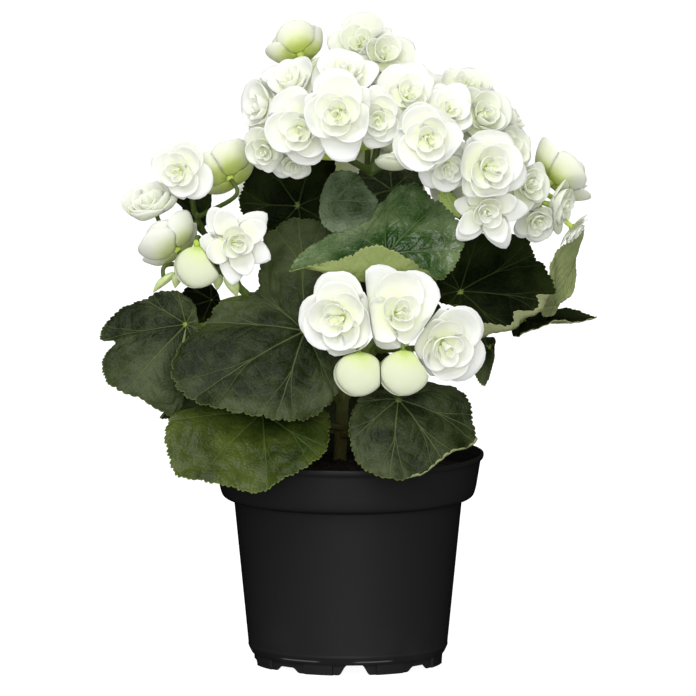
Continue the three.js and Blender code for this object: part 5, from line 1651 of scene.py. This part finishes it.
def flower_mesh(bloom, seed, green=False, shape=FRONT_GRID):
    """Points, faces and green marks of an open flower in its place."""
    rng = np.random.default_rng(seed)
    parts, flush = [], []
    start, aslant = rng.uniform(0, 2 * math.pi), rng.uniform(0, 2 * math.pi)
    if bloom.lead is not None:
        _, first, second = axes_of(bloom)
        lead = np.array([math.cos(math.radians(bloom.lead)), 0, math.sin(math.radians(bloom.lead))])
        start = math.atan2(lead.dot(second), lead.dot(first))
    for level, whorl in enumerate(whorls_of(bloom)):
        count = whorl[0]
        shift = 0.035 * level * bloom.radius * np.array([math.cos(aslant), math.sin(aslant), 0])
        size = bloom.radius * min(1, whorl[4][0] + 0.2)
        for k in range(count):
            azimuth = start + 2 * math.pi * (k + rng.uniform(-0.09, 0.09)) / count
            pointed = bloom.pointed and level < 2
            grid, share = petal_grid(whorl, azimuth, rng, bloom.radius, shape, size, pointed)
            grid = grid + smoothstep(0, 0.5, share)[..., None] * shift
            parts.append((sheet_points(grid, PETAL_THICKNESS), sheet_faces(*shape)))
            heart = max(0, level - 3) * 0.12
            foot = 1 - smoothstep(0.1, 0.95, share)
            inner = heart + 0.5 * foot
            outer = 0.5 * heart + (0.62 if level < 2 else 0.4) * foot
            if level < 2 and bloom.cupped:
                outer = outer + 0.12
            if green:
                inner, outer = inner + 0.14, outer + 0.22 * (1 - 0.4 * share)
            flush += inner.ravel().tolist() + outer.ravel().tolist()
        start += math.pi / count + rng.uniform(-0.2, 0.2)
    points, faces = joined([*parts, knob(*FLOWER_FOOT)])
    flush += [1.0] * (len(points) - len(flush))
    return in_place(points, bloom), faces, flush


def petal_paint(shade, whites, greens):
    """The paint of a petal: white, tinged with green by its marks."""
    place = shade.place()
    flush = shade.mark("flush")
    cloudy = shade.noise(place, 5, 3)
    fine = shade.noise(place, 0.5, 3)
    streaks = shade.noise(place, 1.1, 4)
    tinge = (flush * (0.75 + 0.5 * cloudy) - 0.06 * streaks).at_most(1.0).at_least(0.0)
    white = cloudy.mix(*whites)
    green = tinge.step(0.45, 1.0).mix(*greens)
    return {
        "Base Color": tinge.step(0.0, 0.75).mix(white, green),
        "Roughness": 0.42 + 0.16 * fine,
        "height": 0.5 * fine + streaks,
        "bump": (0.15, 0.2),
    }


def petals_of(name, whites, greens):
    """The finish of petals that let some light through."""
    return finish(
        name,
        lambda shade: petal_paint(shade, whites, greens),
        Specular_IOR_Level=0.2,
        Subsurface_Weight=0.6,
        Subsurface_Radius=(1.0, 1.0, 0.72),
        Subsurface_Scale=0.0015,
    )


OPEN_WHITES = (0.95, 0.965, 0.875, 1), (0.935, 0.955, 0.845, 1)
OPEN_GREENS = (0.86, 0.93, 0.54, 1), (0.6, 0.74, 0.16, 1)
petal_finish = petals_of("petal", OPEN_WHITES, OPEN_GREENS)
# The petals of half-open flowers and of the sprays are creamier and darker: partly their own creamier
# tint, partly painted shade, for flowers that face away or lie further back.
SHADED_CREAMS = (0.855, 0.88, 0.765, 1), (0.82, 0.85, 0.71, 1)
SHADED_CREAM_GREENS = (0.78, 0.86, 0.46, 1), (0.55, 0.68, 0.14, 1)
shaded_cream_finish = petals_of("shaded_cream_petal", SHADED_CREAMS, SHADED_CREAM_GREENS)


def make_flower(name, meshes, slot, petals):
    """A piece of one or more meshes, each of points, faces and green marks."""
    points, faces = joined([mesh[:2] for mesh in meshes])
    flush = np.concatenate([mesh[2] for mesh in meshes])
    made = make_piece(name + "_petals", points, faces, [petals], slot, marks={"flush": flush})
    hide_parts(name)


for number, (name, bloom) in enumerate(FLOWERS.items()):
    slot = "green_petal" if bloom.green else "petal"
    mesh = flower_mesh(bloom, FLOWER_SEED + number, bloom.green)
    make_flower(name, [mesh], slot, shaded_cream_finish if bloom.cupped else petal_finish)

# Closed buds
# Two round petals laid face to face, pale green at the foot and white at the edge, grown on thin stalks
# from the leaders. All but the middle one hang.
BUD_SEED = 60
# How near the edge of its room a bud lies free: it is firmer than a petal.
BUD_FREE_SHARE = 0.97
# How thick half a bud is as a share of its radius, and the radius and half the height of its foot.
BUD_BULGE = 0.46
BUD_FOOT = 1.7, 2.2
BUD_WHITES = (0.69, 0.73, 0.56, 1), (0.65, 0.7, 0.51, 1)
BUD_GREENS = (0.62, 0.71, 0.3, 1), (0.4, 0.54, 0.08, 1)
bud_finish = petals_of("bud_petal", BUD_WHITES, BUD_GREENS)


def bud_mesh(bud, seed):
    """Points, faces and green marks of a closed bud in its place."""
    rng = np.random.default_rng(seed)
    tilt = rng.uniform(0.1, 0.3)
    polar = np.linspace(0, math.pi / 2, 14)
    bulge = BUD_BULGE * bud.radius
    dome = np.stack([np.sin(polar), -np.cos(polar)], 1) * [bud.radius, bulge]
    hollow = np.stack([np.sin(polar), -0.6 * np.cos(polar)], 1)[::-1] * [bud.radius, bulge]
    hollow[:, 1] += 0.3
    shells, flush = [], []
    for side, size, across, along in ((-1, 0.96, -0.06, 0.02), (1, 1.0, 0.08, -0.03)):
        points, faces = turned([*dome, *hollow], 44)
        x, y, z = points.T
        away = np.hypot(x, y) / bud.radius
        low = np.arctan2(y, x) - (1.9 - tilt)
        drawn = 1 + 0.07 * np.cos(low) ** 8 * (np.cos(low) > 0) - 0.05 * np.cos(2 * low)
        x, y = x * drawn, y * drawn
        lifted = bud.radius * (BUD_FOOT_SHARE + along) + size * y
        crease = 0.05 * bud.radius * np.exp(-((x / (0.5 * bud.radius)) ** 2)) * away
        placed = np.stack([size * x + across * bud.radius, -side * (z + crease - 0.25), lifted], 1)
        if side < 0:
            faces = [face[::-1] for face in faces]
        shells.append((placed, faces))
        aslope = placed[:, 0] - 0.25 * placed[:, 2]
        from_foot = np.hypot(placed[:, 2], 1.3 * aslope) / bud.radius
        flush += (0.75 * np.exp(-((from_foot / 1.05) ** 2)) + 0.15 * away**5).tolist()
    shells.append(knob(*BUD_FOOT))
    points, faces = joined(shells)
    flush += [1.0] * (len(points) - len(flush))
    return in_place(points, bud, BUD_FOOT_SHARE, BUD_FREE_SHARE), faces, flush


for number, (name, bud) in enumerate(BUDS.items()):
    make_flower(name, [bud_mesh(bud, BUD_SEED + number)], "petal", bud_finish)

# Sprays
# Two or three flowers that share one thick stalk. The stalks and the flowers grew together.
SPRAY_STALK_RADIUS = 1.4
# The steps between a spray's joints, as a share of the way down from its fork, and how far a stalk
# runs on into the flower's foot.
SPRAY_STEP = 0.25
SPRAY_STALK_SUNK = 0.6
SPRAY_SEED = 80
GREEN_SPRAYS = "spray_top_left", "spray_right_edge", "spray_far_right"


def spray_stalks(start, fork, blooms):
    """The stalks of a spray, with green marks."""
    start, fork = at(start), at(fork)
    thick = thinning(SPRAY_STALK_RADIUS, SPRAY_STALK_RADIUS)
    parts = [tube([start, fork], thick, 10)]
    for i, bloom in enumerate(blooms):
        joint = fork + (start - fork) * SPRAY_STEP * i
        places = stalk_places(bloom, joint, gap=-SPRAY_STALK_SUNK)
        parts.append(tube(places, THIN_STALK, 10))
    points, faces = joined(parts)
    return points, faces, [1.0] * len(points)


for number, (name, (start, fork, blooms)) in enumerate(SPRAYS.items()):
    green = name in GREEN_SPRAYS
    shape = BACK_GRID if "back" in name else FRONT_GRID
    seed = SPRAY_SEED + 5 * number
    meshes = [flower_mesh(bloom, seed + k, green, shape) for k, bloom in enumerate(blooms)]
    meshes.append(spray_stalks(start, fork, blooms))
    make_flower(name, meshes, "green_petal" if green else "petal", shaded_cream_finish)

# Studio
# A pale floor, broad soft lights from the front, above and behind, and a distant camera that looks a
# little down on the plant. The floor and the lights are in metres.
FLOOR_SIZE = 24
FLOOR_GLOW = 0.95
SKY_GLOW = 0.5
bpy.ops.mesh.primitive_plane_add(size=FLOOR_SIZE, location=(0, 0, 0))
floor = bpy.context.active_object
floor.name = "studio_floor"


def floor_paint(shade):
    pale = shade.noise(shade.place(), 300)
    return {"Base Color": pale.mix((0.3, 0.3, 0.3, 1), (0.33, 0.33, 0.33, 1))}


paper = finish(
    "studio_floor",
    floor_paint,
    Roughness=0.9,
    Specular_IOR_Level=0,
    Emission_Color=(1, 1, 1, 1),
    Emission_Strength=FLOOR_GLOW,
)
floor.data.materials.append(paper)
floor.visible_diffuse = False
floor.visible_glossy = False

world = bpy.data.worlds.new("studio")
world.use_nodes = True
sky = world.node_tree.nodes["Background"]
sky.inputs["Color"].default_value = (1, 1, 1, 1)
sky.inputs["Strength"].default_value = SKY_GLOW
world.cycles_visibility.glossy = False
bpy.context.scene.world = world

# Lights: name, place, the point that it is aimed at, size and power in watts.
LIGHTS = [
    ("key_light", (-0.5, -1.35, 1.9), (0, 0, 0.16), 1.2, 22),
    ("front_light", (0.05, -2.5, 0.75), (0, 0, 0.13), 1.5, 34),
    ("back_light", (0.3, 0.7, 1.9), (0, 0, 0.22), 1.1, 6),
]
for name, place, aim, size, power in LIGHTS:
    lamp = bpy.data.lights.new(name, "AREA")
    lamp.size = size
    lamp.energy = power
    light = bpy.data.objects.new(name, lamp)
    light.location = place
    light.rotation_euler = (Vector(aim) - Vector(place)).to_track_quat("-Z", "Y").to_euler()
    bpy.context.scene.collection.objects.link(light)

lens = bpy.data.cameras.new("camera")
lens.sensor_width = 36
lens.lens = lens.sensor_width * VIEW_DISTANCE / (2 * VIEW_MIDDLE * VIEW_STEP)
lens.clip_end = 60
camera = bpy.data.objects.new("camera", lens)
camera.location = Vector(
    (0, -VIEW_DISTANCE * math.cos(VIEW_TILT), AIM_HEIGHT + VIEW_DISTANCE * math.sin(VIEW_TILT))
) * METRES
camera.rotation_euler = (math.pi / 2 - VIEW_TILT, 0, 0)
bpy.context.scene.collection.objects.link(camera)
bpy.context.scene.camera = camera
bpy.context.scene.view_settings.view_transform = "Standard"
